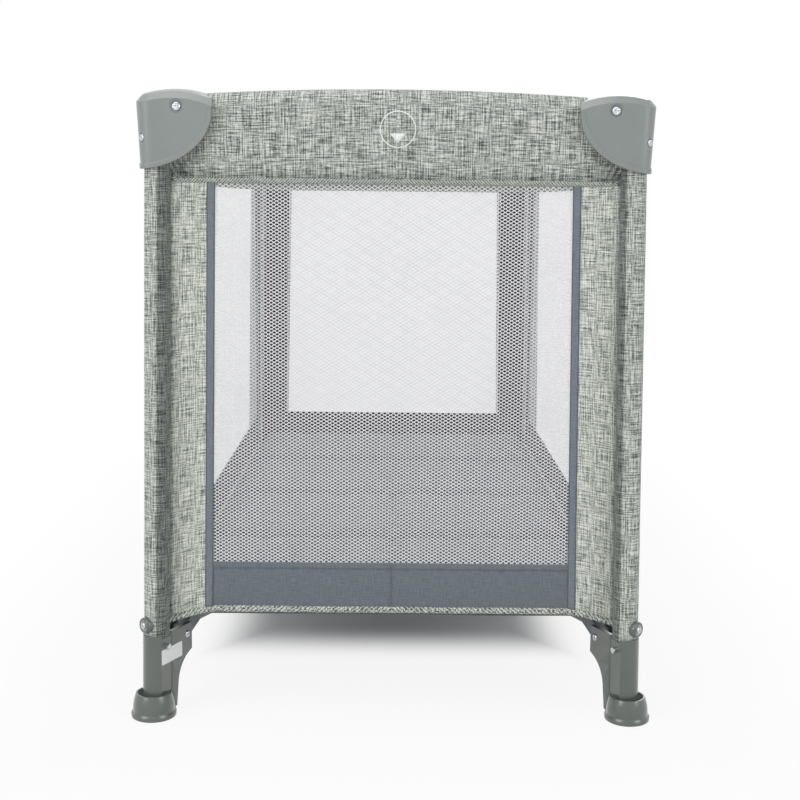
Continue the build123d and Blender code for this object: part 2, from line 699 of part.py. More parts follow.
# ---- centre latch ----------------------------------------------------------------------
def latch(pivot_half, pad_len):
    """Moulded block over both tongues, and its two pivot pins."""
    half_len = pivot_half + LATCH_END_R
    block = box_between(
        -half_len, half_len, -LATCH_W / 2, LATCH_W / 2, LATCH_LOW_Z, LATCH_TOP_Z
    )
    block = fillet(block.edges().filter_by(Axis.Y), LATCH_SIDE_R)
    block = fillet(block.faces().sort_by(Axis.Z)[-1].edges(), LATCH_TOP_R)
    slot_half = TONGUE_T / 2 + SIDE_GAP
    inside_z = LATCH_LOW_Z + LATCH_FLOOR
    block -= box_between(
        -half_len - 1, half_len + 1, -slot_half, slot_half, inside_z, LATCH_TOP_Z - LATCH_ROOF
    )
    roof_half = pivot_half - TONGUE_R - STEM_SIDE
    for side in (-1, 1):
        near, far = sorted((side * roof_half, side * (half_len + 1)))
        block -= box_between(near, far, -slot_half, slot_half, inside_z, LATCH_TOP_Z + 1)
    stem = stem_length(pivot_half, pad_len) / 2 + SIDE_GAP
    block -= box_between(-stem, stem, -slot_half, slot_half, LATCH_LOW_Z - 1, inside_z + 1)
    pocket_half = slot_half + NIB_DEPTH + SIDE_GAP
    nib_half = nib_length(pad_len) / 2 + SIDE_GAP
    low = LATCH_LOW_Z + NIB_UP
    block -= box_between(
        -nib_half, nib_half, -pocket_half, pocket_half,
        low, low + NIB_H + BUTTON_TRAVEL + 4 * SIDE_GAP
    )
    solids = []
    for side in (-1, 1):
        pin = rod(
            Vector(side * pivot_half, -LATCH_W / 2, RAIL_Z),
            Vector(side * pivot_half, LATCH_W / 2, RAIL_Z),
            PIN_R,
        )
        block -= pin
        solids.append(pin)
    return [block] + solids


def stem_length(pivot_half, pad_len):
    return 2 * min(pivot_half - TONGUE_R - STEM_SIDE, pad_len / 2 - 4)


def nib_length(pad_len):
    return min(pad_len * 0.3, 8.0)


def release_button(pivot_half, pad_len):
    """Pad below the latch, with a stem in its slot and nibs that keep it there."""
    rest_z = LATCH_LOW_Z - BUTTON_TRAVEL - 2 * SIDE_GAP
    pad = box_between(
        -pad_len / 2, pad_len / 2, -PAD_W / 2, PAD_W / 2, rest_z - PAD_H, rest_z
    )
    pad = fillet(pad.edges().filter_by(Axis.Z), 3)
    pad = fillet(pad.faces().sort_by(Axis.Z)[0].edges(), 2)
    stem_half = stem_length(pivot_half, pad_len) / 2
    thick = TONGUE_T / 2
    top = LATCH_LOW_Z + NIB_UP + SIDE_GAP + NIB_H
    stem = box_between(-stem_half, stem_half, -thick, thick, rest_z - 1, top)
    nib_half = nib_length(pad_len) / 2
    nib_y = TONGUE_T / 2 + SIDE_GAP + NIB_DEPTH
    nibs = box_between(-nib_half, nib_half, -nib_y, nib_y, top - NIB_H, top)
    return pad + stem + nibs


# ---- rail cover ------------------------------------------------------------------------
def cover_section(x, top_r, top_z, shrink):
    """Teardrop across the rail, in the plane at x: round over the rail, thin at its hem."""
    upper = Pos(0, top_z) * Circle(top_r - shrink)
    lower = Pos(-WALL_IN, COVER_LOW_Z) * Circle(COVER_LOW_R - shrink)
    return Plane(origin=(x, 0, 0), x_dir=(0, 1, 0), z_dir=(1, 0, 0)) * make_hull(
        upper.edges() + lower.edges()
    )


def half_cover(end_x):
    """Padded sleeve over half a rail, thicker and higher over the latch."""
    shells = []
    for shrink, extra in ((0, 0), (COVER_WALL, 1)):
        sections = []
        for share in (0, 0.5, 1):
            rise = 1 - (1 - share) ** 2
            x = end_x + extra + (CLOTH_GAP / 2 - extra * 2 - end_x) * share
            radius = COVER_END_R + (COVER_MID_R - COVER_END_R) * rise
            height = COVER_END_Z + (COVER_MID_Z - COVER_END_Z) * rise
            sections.append(cover_section(x, radius, height, shrink))
        shells.append(loft(sections))
    cover = shells[0] - shells[1]
    post_x = end_x + COVER_END_IN
    wide = HOUSING_WING
    split_z = RAIL_Z - COVER_SPLIT_DOWN
    cover -= box_between(post_x - COVER_TIP_IN, post_x, -wide, wide, split_z, RAIL_Z + wide)
    boss_x = post_x - PIVOT_IN - BOSS_R - COVER_ROOM
    return cover - box_between(
        boss_x, post_x, -wide, wide, RAIL_Z - BOSS_R - COVER_ROOM, RAIL_Z
    )


# ---- wall cloth ------------------------------------------------------------------------
def wall_face(width, strip):
    """End or side wall half, drawn from the middle to the post: strip and band."""
    top_out = (RAIL_Z - WALL_TOP_Z) * SPLAY
    band_out = (RAIL_Z - BAND_TOP_Z) * SPLAY
    low_out = (RAIL_Z - PIPING_Z) * SPLAY
    start = CLOTH_GAP / 2
    return make_face(
        Polyline(
            (start, PIPING_Z), (width + low_out, PIPING_Z), (width + top_out, WALL_TOP_Z),
            (width + top_out - strip, WALL_TOP_Z), (width + band_out - strip, BAND_TOP_Z),
            (start, BAND_TOP_Z), close=True
        )
    )


def net_face(width, strip):
    top_out = (RAIL_Z - WALL_TOP_Z) * SPLAY
    band_out = (RAIL_Z - BAND_TOP_Z) * SPLAY
    start = CLOTH_GAP / 2
    edge = width - strip - CLOTH_GAP
    low = BAND_TOP_Z + CLOTH_GAP
    return make_face(
        Polyline(
            (start, low), (edge + band_out, low), (edge + top_out, WALL_TOP_Z),
            (start, WALL_TOP_Z), close=True
        )
    )


def net_grid(width, strip, columns):
    """Half a net window with a plain grid of openings."""
    across = (width - strip + (RAIL_Z - WALL_TOP_Z) * SPLAY) / columns
    up = (WALL_TOP_Z - BAND_TOP_Z) / NET_ROWS
    middle = Pos(across * columns / 2, (WALL_TOP_Z + BAND_TOP_Z) / 2)
    opening = Rectangle(across - NET_BAR, up - NET_BAR)
    places = GridLocations(across, up, columns, NET_ROWS)
    return net_face(width, strip) - [middle * place * opening for place in places]


def end_panel(face, thick):
    return extrude(Plane(origin=(0, WALL_Y, 0), x_dir=(1, 0, 0), z_dir=(0, -1, 0)) * face,
                   thick / 2, both=True)


def side_panel(face, thick):
    return extrude(Plane(origin=(WALL_X, 0, 0), x_dir=(0, 1, 0), z_dir=(1, 0, 0)) * face,
                   thick / 2, both=True)


def wall_cloth():
    """Sleeve round the post with half an end wall and half a side wall sewn to it."""
    low_z = SHANK_TOP_Z - MOUTH_DEPTH + CLOTH_GAP
    sleeve = post_rod(low_z, SLEEVE_TOP_Z, POST_R + CLOTH_GAP + SLEEVE_WALL)
    start = CLOTH_GAP / 2
    ends = post_point(PIPING_Z)
    piping = rod(Vector(start, WALL_Y, PIPING_Z), Vector(ends.X, WALL_Y, PIPING_Z), PIPING_R)
    piping += rod(Vector(WALL_X, start, PIPING_Z), Vector(WALL_X, ends.Y, PIPING_Z), PIPING_R)
    cloth = sleeve + end_panel(wall_face(POST_X, END_STRIP), WALL_T) + piping
    cloth += side_panel(wall_face(POST_Y, SIDE_STRIP), WALL_T)
    cloth -= post_rod(low_z - 5, SLEEVE_TOP_Z + 5, POST_R + CLOTH_GAP)
    return cloth - button_screw_hole()


def net_windows():
    return [
        end_panel(net_grid(POST_X, END_STRIP, END_COLUMNS), NET_T),
        side_panel(net_grid(POST_Y, SIDE_STRIP, SIDE_COLUMNS), NET_T),
    ]


# ---- floor cloth and mat ---------------------------------------------------------------
def floor_sheet():
    sheet = Pos(0, 0, FLOOR_LOW_Z) * Box(
        2 * WALL_X + WALL_T, 2 * WALL_Y + WALL_T, FLOOR_T, align=LOW
    )
    notch = post_rod(
        FLOOR_LOW_Z - 5, FLOOR_LOW_Z + 10, POST_R + SLEEVE_WALL + 2 * CLOTH_GAP
    )
    for sx, sy in CORNERS.values():
        sheet -= to_corner(notch, sx, sy)
    slit = Pos(1.5, 0, FLOOR_LOW_Z) * Box(10, STRAP_W + 4, 20)
    return sheet - slit


def panel_centres():
    pitch = 2 * MAT_Y / MAT_PANELS
    return [(-MAT_Y + pitch * (index + 0.5), pitch) for index in range(MAT_PANELS)]


def mat_boards():
    boards = []
    for middle, pitch in panel_centres():
        boards.append(
            Pos(0, middle, MAT_LOW_Z) * Box(
                2 * (MAT_X - BOARD_MARGIN), pitch - 2 * BOARD_MARGIN, BOARD_T, align=LOW
            )
        )
    return boards


def floor_mat():
    """Padded mat of hinged panels, with a pocket for a board under each."""
    mat = Pos(0, 0, MAT_LOW_Z) * Box(2 * MAT_X, 2 * MAT_Y, MAT_H, align=LOW)
    mat = fillet(mat.edges().filter_by(Axis.Z), 24)
    mat = fillet(mat.faces().sort_by(Axis.Z)[-1].edges(), MAT_EDGE_R)
    for middle, pitch in panel_centres()[1:]:
        fold = rod(
            Vector(-MAT_X - 1, middle - pitch / 2, MAT_LOW_Z + MAT_H),
            Vector(MAT_X + 1, middle - pitch / 2, MAT_LOW_Z + MAT_H),
            MAT_GROOVE,
        )
        mat -= fold
    for middle, pitch in panel_centres():
        mat -= Pos(0, middle, MAT_LOW_Z - 1) * Box(
            2 * (MAT_X - BOARD_MARGIN + CLOTH_GAP),
            pitch - 2 * (BOARD_MARGIN - CLOTH_GAP),
            BOARD_T + CLOTH_GAP + 1,
            align=LOW,
        )
    return mat


# ---- assembly --------------------------------------------------------------------------
def along_end(shape, sx, sy):
    """Part drawn along X at y = 0, put on the end rail of the corner sx, sy."""
    return to_corner(Pos(0, POST_Y, 0) * shape, sx, sy)


def along_side(shape, sx, sy):
    """The same part put on the side rail."""
    return to_corner(Pos(POST_X, 0, 0) * swap_xy(shape), sx, sy)


def build():
    housing = corner_housing()
    leg_parts = {
        "corner_housing": [housing],
        "post": [post()],
        "foot_housing": [foot_housing()],
        "leg_fasteners": leg_fasteners(),
        "wall_cloth": [wall_cloth()],
        "net_window": net_windows(),
        "floor_arm": [floor_arm()],
    }
    end_rail = end_half_rail()
    side_rail = side_half_rail()
    end_cover = half_cover(POST_X - COVER_END_IN)
    side_cover = half_cover(POST_Y - COVER_END_IN)
    for corner, (sx, sy) in CORNERS.items():
        for name, shapes in leg_parts.items():
            save([to_corner(shape, sx, sy) for shape in shapes], f"{name}_{corner}")
        save([along_end(end_rail, sx, sy)], f"end_rail_{corner}")
        save([along_side(side_rail, sx, sy)], f"side_rail_{corner}")
        save([along_end(end_cover, sx, sy)], f"end_cover_{corner}")
        save([along_side(side_cover, sx, sy)], f"side_cover_{corner}")

    end_latch = latch(END_LATCH_HALF, END_PAD_LEN)
    end_button = release_button(END_LATCH_HALF, END_PAD_LEN)
    for name, sy in (("front", -1), ("back", 1)):
        save([along_end(shape, 1, sy) for shape in end_latch], f"end_latch_{name}")
        save([along_end(end_button, 1, sy)], f"end_button_{name}")
    side_latch = latch(SIDE_LATCH_HALF, SIDE_PAD_LEN)
    side_button = release_button(SIDE_LATCH_HALF, SIDE_PAD_LEN)
    for name, sx in (("left", -1), ("right", 1)):
        save([along_side(shape, sx, 1) for shape in side_latch], f"side_latch_{name}")
        save([along_side(side_button, sx, 1)], f"side_button_{name}")

    save([hub()], "hub")
    save([hub_foot()], "hub_foot")
    save(hub_pins(), "hub_pins")
    save([pull_strap()], "pull_strap")
    save([floor_sheet()], "floor_sheet")
    save([floor_mat()], "floor_mat")
    save(mat_boards(), "mat_boards")


os.makedirs("parts", exist_ok=True)
build()
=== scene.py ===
import bmesh
import bpy
import math
from mathutils import Matrix, Vector, noise


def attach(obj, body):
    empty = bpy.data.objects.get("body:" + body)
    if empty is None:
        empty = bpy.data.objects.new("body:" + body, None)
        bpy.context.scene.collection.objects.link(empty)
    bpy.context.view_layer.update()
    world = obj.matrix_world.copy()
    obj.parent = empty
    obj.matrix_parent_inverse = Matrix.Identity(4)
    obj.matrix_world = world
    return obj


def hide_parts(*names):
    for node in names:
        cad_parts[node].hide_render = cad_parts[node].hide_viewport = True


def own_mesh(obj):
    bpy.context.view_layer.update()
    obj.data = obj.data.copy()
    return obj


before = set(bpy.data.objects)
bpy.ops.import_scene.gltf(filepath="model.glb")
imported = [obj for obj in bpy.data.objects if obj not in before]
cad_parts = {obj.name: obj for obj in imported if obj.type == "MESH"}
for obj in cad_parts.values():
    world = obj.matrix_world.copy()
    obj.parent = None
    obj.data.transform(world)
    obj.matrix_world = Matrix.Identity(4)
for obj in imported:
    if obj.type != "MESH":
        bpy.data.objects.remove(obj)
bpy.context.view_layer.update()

scene = bpy.context.scene
scene.view_settings.view_transform = "Standard"

# ---- Studio ----------------------------------------------------------------------------
# A pale floor under soft lamps, with a white surround, and a camera at standing distance
# in front of one short end of the cot, a little below its rails.
EYE = Vector((-0.0014, -2.1407, 0.6327))
PITCH, YAW, ROLL = 0.1512, 0.0058, 0.0105


def paint(red, green, blue):
    """Colour given as 0 to 255 screen values, in linear light."""
    return tuple(
        (c / 255 / 12.92 if c <= 10 else ((c / 255 + 0.055) / 1.055) ** 2.4)
        for c in (red, green, blue)
    ) + (1.0,)


def studio_camera():
    ahead = Vector((
        math.sin(YAW) * math.cos(PITCH), math.cos(YAW) * math.cos(PITCH), -math.sin(PITCH)
    ))
    right = Vector((math.cos(YAW), -math.sin(YAW), 0))
    up = right.cross(ahead)
    level_x = math.cos(ROLL) * right + math.sin(ROLL) * up
    level_y = -math.sin(ROLL) * right + math.cos(ROLL) * up
    turn = Matrix((level_x, level_y, -ahead)).transposed()
    data = bpy.data.cameras.new("studio_camera")
    data.lens, data.sensor_width = 59.05, 36
    camera = bpy.data.objects.new("studio_camera", data)
    camera.matrix_world = Matrix.Translation(EYE) @ turn.to_4x4()
    scene.collection.objects.link(camera)
    scene.camera = camera


def soft_lamp(name, place, target, size, watts):
    data = bpy.data.lights.new(name, "AREA")
    data.shape, data.size, data.energy = "DISK", size, watts
    lamp = bpy.data.objects.new(name, data)
    lamp.location = place
    facing = Vector(target) - Vector(place)
    lamp.rotation_mode = "QUATERNION"
    lamp.rotation_quaternion = facing.to_track_quat("-Z", "Y")
    scene.collection.objects.link(lamp)


def add(tree, kind, **values):
    """New shader node with its settings, and its input values by socket name."""
    made = tree.nodes.new(kind)
    for key, value in values.items():
        if hasattr(made, key):
            setattr(made, key, value)
        else:
            made.inputs[key.replace("_", " ")].default_value = value
    return made


def calc(tree, operation, *values):
    """Math node; each value is a number or the output of another node."""
    made = add(tree, "ShaderNodeMath", operation=operation)
    for socket, value in zip(made.inputs, values):
        if isinstance(value, float):
            socket.default_value = value
        else:
            tree.links.new(value, socket)
    return made.outputs[0]


def seen_white(tree, lit, white, share, output):
    """Mixes what is lit with plain white where the eye or a reflection sees it."""
    path = add(tree, "ShaderNodeLightPath")
    seen = calc(tree, "MAXIMUM", path.outputs["Is Camera Ray"], path.outputs["Is Glossy Ray"])
    seen = calc(tree, "MAXIMUM", seen, path.outputs["Is Transmission Ray"])
    mix = add(tree, "ShaderNodeMixShader")
    for socket, value in zip(mix.inputs, (calc(tree, "MULTIPLY", seen, share), lit, white)):
        tree.links.new(value, socket)
    tree.links.new(mix.outputs[0], tree.nodes[output].inputs[0])


studio_camera()
soft_lamp("lamp_over", (-0.6, -1.2, 3.0), (0, 0, 0.4), 2.6, 29)
soft_lamp("lamp_front_left", (-2.3, -2.6, 1.5), (0, -0.3, 0.4), 1.8, 31)
soft_lamp("lamp_front_right", (2.5, -2.4, 1.4), (0, -0.3, 0.4), 1.8, 25)
soft_lamp("lamp_back", (0.6, 2.8, 2.2), (0, 0.2, 0.4), 2.0, 22)

world = bpy.data.worlds.new("studio_surround")
world.use_nodes = True
scene.world = world
dim = world.node_tree.nodes["Background"]
dim.inputs[0].default_value = (0.95, 0.97, 1.0, 1)
dim.inputs[1].default_value = 0.33
bright = add(world.node_tree, "ShaderNodeBackground")
bright.inputs[0].default_value = (1, 1, 1, 1)
seen_white(world.node_tree, dim.outputs[0], bright.outputs[0], 1.0, "World Output")

floor_material = bpy.data.materials.new("studio_floor")
floor_material.use_nodes = True
floor_tree = floor_material.node_tree
floor_skin = floor_tree.nodes["Principled BSDF"]
floor_skin.inputs["Base Color"].default_value = (0.86, 0.86, 0.86, 1)
floor_skin.inputs["Roughness"].default_value = 0.9
floor_glow = add(floor_tree, "ShaderNodeEmission")
floor_glow.inputs[0].default_value = (1, 1, 1, 1)
floor_place = add(floor_tree, "ShaderNodeTexCoord")
floor_axes = add(floor_tree, "ShaderNodeSeparateXYZ")
floor_tree.links.new(floor_place.outputs["Object"], floor_axes.inputs[0])


def floor_fade(distance, start, end, low, high):
    """Goes smoothly from low to high as a distance goes from start to end."""
    made = add(floor_tree, "ShaderNodeMapRange", interpolation_type="SMOOTHSTEP")
    for socket, value in zip(made.inputs[1:5], (start, end, low, high)):
        socket.default_value = value
    floor_tree.links.new(distance, made.inputs[0])
    return made.outputs[0]


# The floor is lit and shaded under the cot, and turns to plain white away from it.
from_middle_x = calc(floor_tree, "ABSOLUTE", floor_axes.outputs[0])
from_middle_y = calc(floor_tree, "ABSOLUTE", floor_axes.outputs[1])
beside = floor_fade(from_middle_x, 0.15, 0.30, 0.0, 1.0)
before = floor_fade(from_middle_y, 0.22, 0.42, 0.0, 1.0)
near_share = floor_fade(calc(floor_tree, "MAXIMUM", beside, before), 0.0, 1.0, 0.04, 0.89)
clear_x = floor_fade(from_middle_x, 0.32, 0.75, 0.0, 0.11)
clear_y = floor_fade(from_middle_y, 0.64, 1.1, 0.0, 0.11)
whole_share = calc(floor_tree, "ADD", near_share, calc(floor_tree, "MAXIMUM", clear_x, clear_y))
seen_white(
    floor_tree, floor_skin.outputs[0], floor_glow.outputs[0], whole_share, "Material Output"
)

ground = bmesh.new()
bmesh.ops.create_grid(ground, x_segments=2, y_segments=2, size=9)
ground_mesh = bpy.data.meshes.new("studio_floor")
ground.to_mesh(ground_mesh)
ground.free()
studio_floor = bpy.data.objects.new("studio_floor", ground_mesh)
studio_floor.data.materials.append(floor_material)
scene.collection.objects.link(studio_floor)
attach(studio_floor, "leg_front_left")

# ---- Corner housings -------------------------------------------------------------------
# Four hollow mouldings in satin grey plastic. Each is pushed over a post's top and holds
# the ends of two rails; a fine grain is left by the mould.
CORNERS = {
    "front_left": (-1, -1),
    "front_right": (1, -1),
    "back_left": (-1, 1),
    "back_right": (1, 1),
}
MM = 0.001


def start_material(name, roughness):
    """Material with one main shader; gives the material, its tree and that shader."""
    made = bpy.data.materials.new(name)
    made.use_nodes = True
    skin = made.node_tree.nodes["Principled BSDF"]
    skin.inputs["Roughness"].default_value = roughness
    return made, made.node_tree, skin


def place_scaled(tree, scale):
    """Object coordinates scaled by three factors, to shape a pattern."""
    where = add(tree, "ShaderNodeTexCoord")
    stretch = add(tree, "ShaderNodeMapping")
    stretch.inputs["Scale"].default_value = scale
    tree.links.new(where.outputs["Object"], stretch.inputs["Vector"])
    return stretch.outputs[0]


def grain(tree, scale, detail=2.0, rough=0.5):
    """Soft noise on the piece's own coordinates."""
    made = add(tree, "ShaderNodeTexNoise", Scale=1.0, Detail=detail, Roughness=rough)
    tree.links.new(place_scaled(tree, scale), made.inputs["Vector"])
    return made.outputs["Fac"]


def ramp(tree, value, stops):
    """Colour from a value, by stops of place and colour."""
    made = add(tree, "ShaderNodeValToRGB")
    band = made.color_ramp
    for index, (place, colour) in enumerate(stops):
        point = band.elements[index] if index < 2 else band.elements.new(place)
        point.position, point.color = place, colour
    tree.links.new(value, made.inputs[0])
    return made.outputs[0]


def bump(tree, skin, height, strength, depth):
    made = add(tree, "ShaderNodeBump", Strength=strength, Distance=depth)
    tree.links.new(height, made.inputs["Height"])
    tree.links.new(made.outputs[0], skin.inputs["Normal"])


def moulded(name, low, high, roughness, gloss):
    """Moulded plastic: a slow drift of tone, a fine grain, a thin glossy skin, soft edges."""
    made, tree, skin = start_material(name, roughness)
    drift = grain(tree, (14, 14, 14), 3)
    tree.links.new(ramp(tree, drift, [(0.3, low), (0.7, high)]), skin.inputs["Base Color"])
    skin.inputs["Coat Weight"].default_value = gloss
    skin.inputs["Coat Roughness"].default_value = 0.22
    bump(tree, skin, grain(tree, (2600, 2600, 2600), 1), 0.10, 0.0002)
    worn = add(tree, "ShaderNodeBevel", Radius=0.9 * MM)
    tree.links.new(worn.outputs[0], tree.nodes["Bump"].inputs["Normal"])
    return made


def dress(node, material):
    """Gives a carried-over CAD part its material."""
    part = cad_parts[node]
    part.data.materials.clear()
    part.data.materials.append(material)


housing_plastic = moulded(
    "housing_plastic", paint(136, 143, 140), paint(144, 150, 147), 0.40, 0.4
)
for corner in CORNERS:
    dress(f"corner_housing_{corner}", housing_plastic)

# ---- Posts and floor arms --------------------------------------------------------------
# Round steel tube for the posts and rails, and oval tube for the arms that cross under
# the floor. All of it has a grey baked powder coat, slightly pebbled.


def powder_coat(name, colour):
    made, tree, skin = start_material(name, 0.45)
    skin.inputs["Metallic"].default_value = 0.35
    drift = grain(tree, (60, 60, 60), 4)
    low = tuple(c * 0.9 for c in colour[:3]) + (1,)
    tree.links.new(ramp(tree, drift, [(0.35, low), (0.65, colour)]), skin.inputs["Base Color"])
    bump(tree, skin, grain(tree, (900, 900, 900), 2), 0.15, 0.0003)
    return made


tube_coat = powder_coat("tube_coat", paint(128, 132, 135))
arm_coat = powder_coat("arm_coat", paint(120, 125, 128))
for corner in CORNERS:
    dress(f"post_{corner}", tube_coat)
    dress(f"floor_arm_{corner}", arm_coat)
    dress(f"end_rail_{corner}", tube_coat)
    dress(f"side_rail_{corner}", tube_coat)

# ---- Foot housings ---------------------------------------------------------------------
# One moulding in darker, glossier grey plastic, pushed on each post's lower end: a bell
# foot, a tube, and a web that holds a floor arm. The tube has a flat level with the web.
foot_plastic = moulded("foot_plastic", paint(87, 94, 88), paint(97, 103, 97), 0.28, 0.7)
dress("hub_foot", foot_plastic)
RAIL_Z = 736.5 * MM
POST_AT_RAIL = Vector((278.0 * MM, 578.0 * MM, RAIL_Z))
SPLAY = math.tan(math.radians(0.9))
PIN_Z = 91 * MM


def post_axis(z):
    """Point on a post's axis, which leans outwards both ways, for the back right corner."""
    out = (POST_AT_RAIL.z - z) * SPLAY
    return Vector((POST_AT_RAIL.x + out, POST_AT_RAIL.y + out, z))


ARM_WAY = Vector((236, 496, 0)).normalized()
WEB_FACE = 10.6 * MM
FOOT_FLAT = 13.4 * MM
TUBE_R = 17.1 * MM
BELL_CUP_Z = 23 * MM
WEB_TIP = 54 * MM


def on_corner(point, sx, sy):
    """Takes a point of the back right corner to any corner."""
    return Vector((sx * point.x, sy * point.y, point.z))


def web_frame(sx, sy):
    """Directions along the web, towards the hub, and out of its end face."""
    inward = Vector((-sx * ARM_WAY.x, -sy * ARM_WAY.y, 0))
    return inward, Vector((-sx * ARM_WAY.y, sy * ARM_WAY.x, 0))


def finish_piece(shape, name, material, body, smooth=True):
    """Turns a bmesh into a piece that rides on a body and takes a material slot."""
    mesh = bpy.data.meshes.new(name)
    shape.to_mesh(mesh)
    shape.free()
    mesh.materials.append(material)
    mesh.shade_smooth() if smooth else mesh.shade_flat()
    piece = bpy.data.objects.new(name, mesh)
    scene.collection.objects.link(piece)
    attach(piece, body)
    return piece


def everything(shape):
    return shape.verts[:] + shape.edges[:] + shape.faces[:]


def flat_sided_foot(corner, sx, sy):
    """Copy of the moulding with its tube cut flat and the web's face brought level."""
    inward, side = web_frame(sx, sy)
    foot = bmesh.new()
    foot.from_mesh(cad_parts[f"foot_housing_{corner}"].data)
    bmesh.ops.remove_doubles(foot, verts=foot.verts[:], dist=2e-6)
    web = on_corner(post_axis(PIN_Z), sx, sy)
    bmesh.ops.bisect_plane(
        foot, geom=everything(foot), dist=1e-6, plane_co=web + side * FOOT_FLAT, plane_no=side
    )
    for v in foot.verts:
        from_axis = v.co - on_corner(post_axis(v.co.z), sx, sy)
        out, along = (v.co - web).dot(side), (v.co - web).dot(inward)
        if v.co.z > BELL_CUP_Z and from_axis.length < TUBE_R and out > FOOT_FLAT:
            v.co -= side * (out - FOOT_FLAT)
        elif along > 10 * MM and abs(out - WEB_FACE) < 0.1 * MM:
            v.co += side * (FOOT_FLAT - out)
        if along > WEB_TIP:
            v.co -= inward * (along - WEB_TIP) * 0.8
    return foot


for corner, (sx, sy) in CORNERS.items():
    foot = flat_sided_foot(corner, sx, sy)
    piece = finish_piece(foot, f"foot_{corner}", foot_plastic, f"leg_{corner}")
    piece.data.set_sharp_from_angle(angle=math.radians(24))
    even = piece.modifiers.new("even", "WEIGHTED_NORMAL")
    even.keep_sharp = True
    even.weight = 80
    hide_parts(f"foot_housing_{corner}")

# ---- Hub, latches and buttons ----------------------------------------------------------
# Dark mouldings in the middle of the floor frame and of each rail, and the red buttons
# that are pressed through the cloth to free the rails.
hub_plastic = moulded("hub_plastic", paint(92, 97, 99), paint(102, 107, 108), 0.45, 0.2)
button_plastic = moulded("button_plastic", paint(176, 48, 38), paint(190, 56, 44), 0.4, 0.4)
dress("hub", hub_plastic)
for name in ("end_latch_front", "end_latch_back", "side_latch_left", "side_latch_right"):
    dress(name, hub_plastic)
for name in ("end_button_front", "end_button_back", "side_button_left", "side_button_right"):
    dress(name, button_plastic)

# ---- Screws, rivets and pins -----------------------------------------------------------
# Zinc-plated steel, turned and pressed. The screws that show have domed heads with a
# cross recess; pins and rivets are plain.
SCREW_HEAD = 5.0 * MM
SCREW_DOME = 2.2 * MM


def speckled(name, roughness, size, detail, tones, relief):
    """Plain finish with a fine speckle of two tones and a slight relief."""
    made, tree, skin = start_material(name, roughness)
    drift = grain(tree, (size, size, size), detail)
    tree.links.new(ramp(tree, drift, tones), skin.inputs["Base Color"])
    bump(tree, skin, drift, *relief)
    return made, skin


zinc_plate, zinc_skin = speckled(
    "zinc_plate", 0.22, 400, 3, [(0.3, paint(176, 181, 187)), (0.7, paint(212, 215, 220))],
    (0.05, 0.0003),
)
zinc_skin.inputs["Metallic"].default_value = 1.0
for corner in CORNERS:
    dress(f"leg_fasteners_{corner}", zinc_plate)
dress("hub_pins", zinc_plate)


def aim(shape, place, facing):
    """Moves a shape drawn round +Z so that it stands at a place and faces outwards."""
    turn = Vector(facing).to_track_quat("Z", "Y").to_matrix().to_4x4()
    bmesh.ops.transform(shape, matrix=Matrix.Translation(place) @ turn, verts=shape.verts[:])


def screw_head(radius, dome):
    """Domed head with a cross pressed into it."""
    head = bmesh.new()
    bmesh.ops.create_uvsphere(head, u_segments=40, v_segments=24, radius=1)
    flat = [v for v in head.verts if v.co.z < -0.02]
    bmesh.ops.delete(head, geom=flat, context="VERTS")
    for v in head.verts:
        v.co = Vector((v.co.x * radius, v.co.y * radius, v.co.z * dome))
        across = min(abs(v.co.x), abs(v.co.y))
        along = max(abs(v.co.x), abs(v.co.y))
        if across < radius * 0.16 and along < radius * 0.62:
            v.co.z -= dome * 0.55
    return head


# ---- Round washer buttons --------------------------------------------------------------
# A grey plastic button, held by a screw in its middle, clamps the sleeve to each post
# above the foot. The rail screws and the floor arm's pin are set in the same pass.
BUTTON_Z = 117 * MM
RAIL_SCREW = {"end": (253 * MM, 600.5 * MM), "side": (300.5 * MM, 553 * MM)}


def washer_button():
    """Dished button turned from its half section, with a skirt down to the sleeve."""
    button = bmesh.new()
    rim = [(0, 4.9), (3.4, 4.9), (5.0, 4.7), (5.4, 4.2), (5.8, 4.2), (6.2, 4.9), (8.2, 4.7),
           (9.3, 4.0), (9.8, 3.0), (9.9, 0.2), (9.9, -4.0)]
    points = [button.verts.new((r * MM, 0, h * MM)) for r, h in rim]
    edges = [button.edges.new(pair) for pair in zip(points, points[1:])]
    bmesh.ops.spin(
        button, geom=points + edges, cent=(0, 0, 0), axis=(0, 0, 1), angle=2 * math.pi,
        steps=40, use_merge=True,
    )
    bmesh.ops.remove_doubles(button, verts=button.verts[:], dist=1e-6)
    bmesh.ops.recalc_face_normals(button, faces=button.faces[:])
    return button


for corner, (sx, sy) in CORNERS.items():
    body = f"leg_{corner}"
    diagonal = Vector((sx, sy, 0)).normalized()
    centre = on_corner(post_axis(BUTTON_Z), sx, sy) + diagonal * 15.5 * MM
    inward, side = web_frame(sx, sy)
    arm_pin = on_corner(post_axis(PIN_Z), sx, sy) + inward * 46 * MM + side * FOOT_FLAT
    end_screw = on_corner(Vector(RAIL_SCREW["end"] + (RAIL_Z,)), sx, sy)
    side_screw = on_corner(Vector(RAIL_SCREW["side"] + (RAIL_Z,)), sx, sy)
    button = washer_button()
    aim(button, centre, diagonal)
    finish_piece(button, f"washer_button_{corner}", foot_plastic, body)
    for name, place, facing, radius in (
        ("arm_pin_head", arm_pin, side, SCREW_HEAD * 0.9),
        ("button_screw", centre + diagonal * 4.6 * MM, diagonal, 4.4 * MM),
        ("end_rail_screw", end_screw, (0, sy, 0), SCREW_HEAD),
        ("side_rail_screw", side_screw, (sx, 0, 0), SCREW_HEAD),
    ):
        head = screw_head(radius, SCREW_DOME)
        aim(head, place, facing)
        finish_piece(head, f"{name}_{corner}", zinc_plate, body)

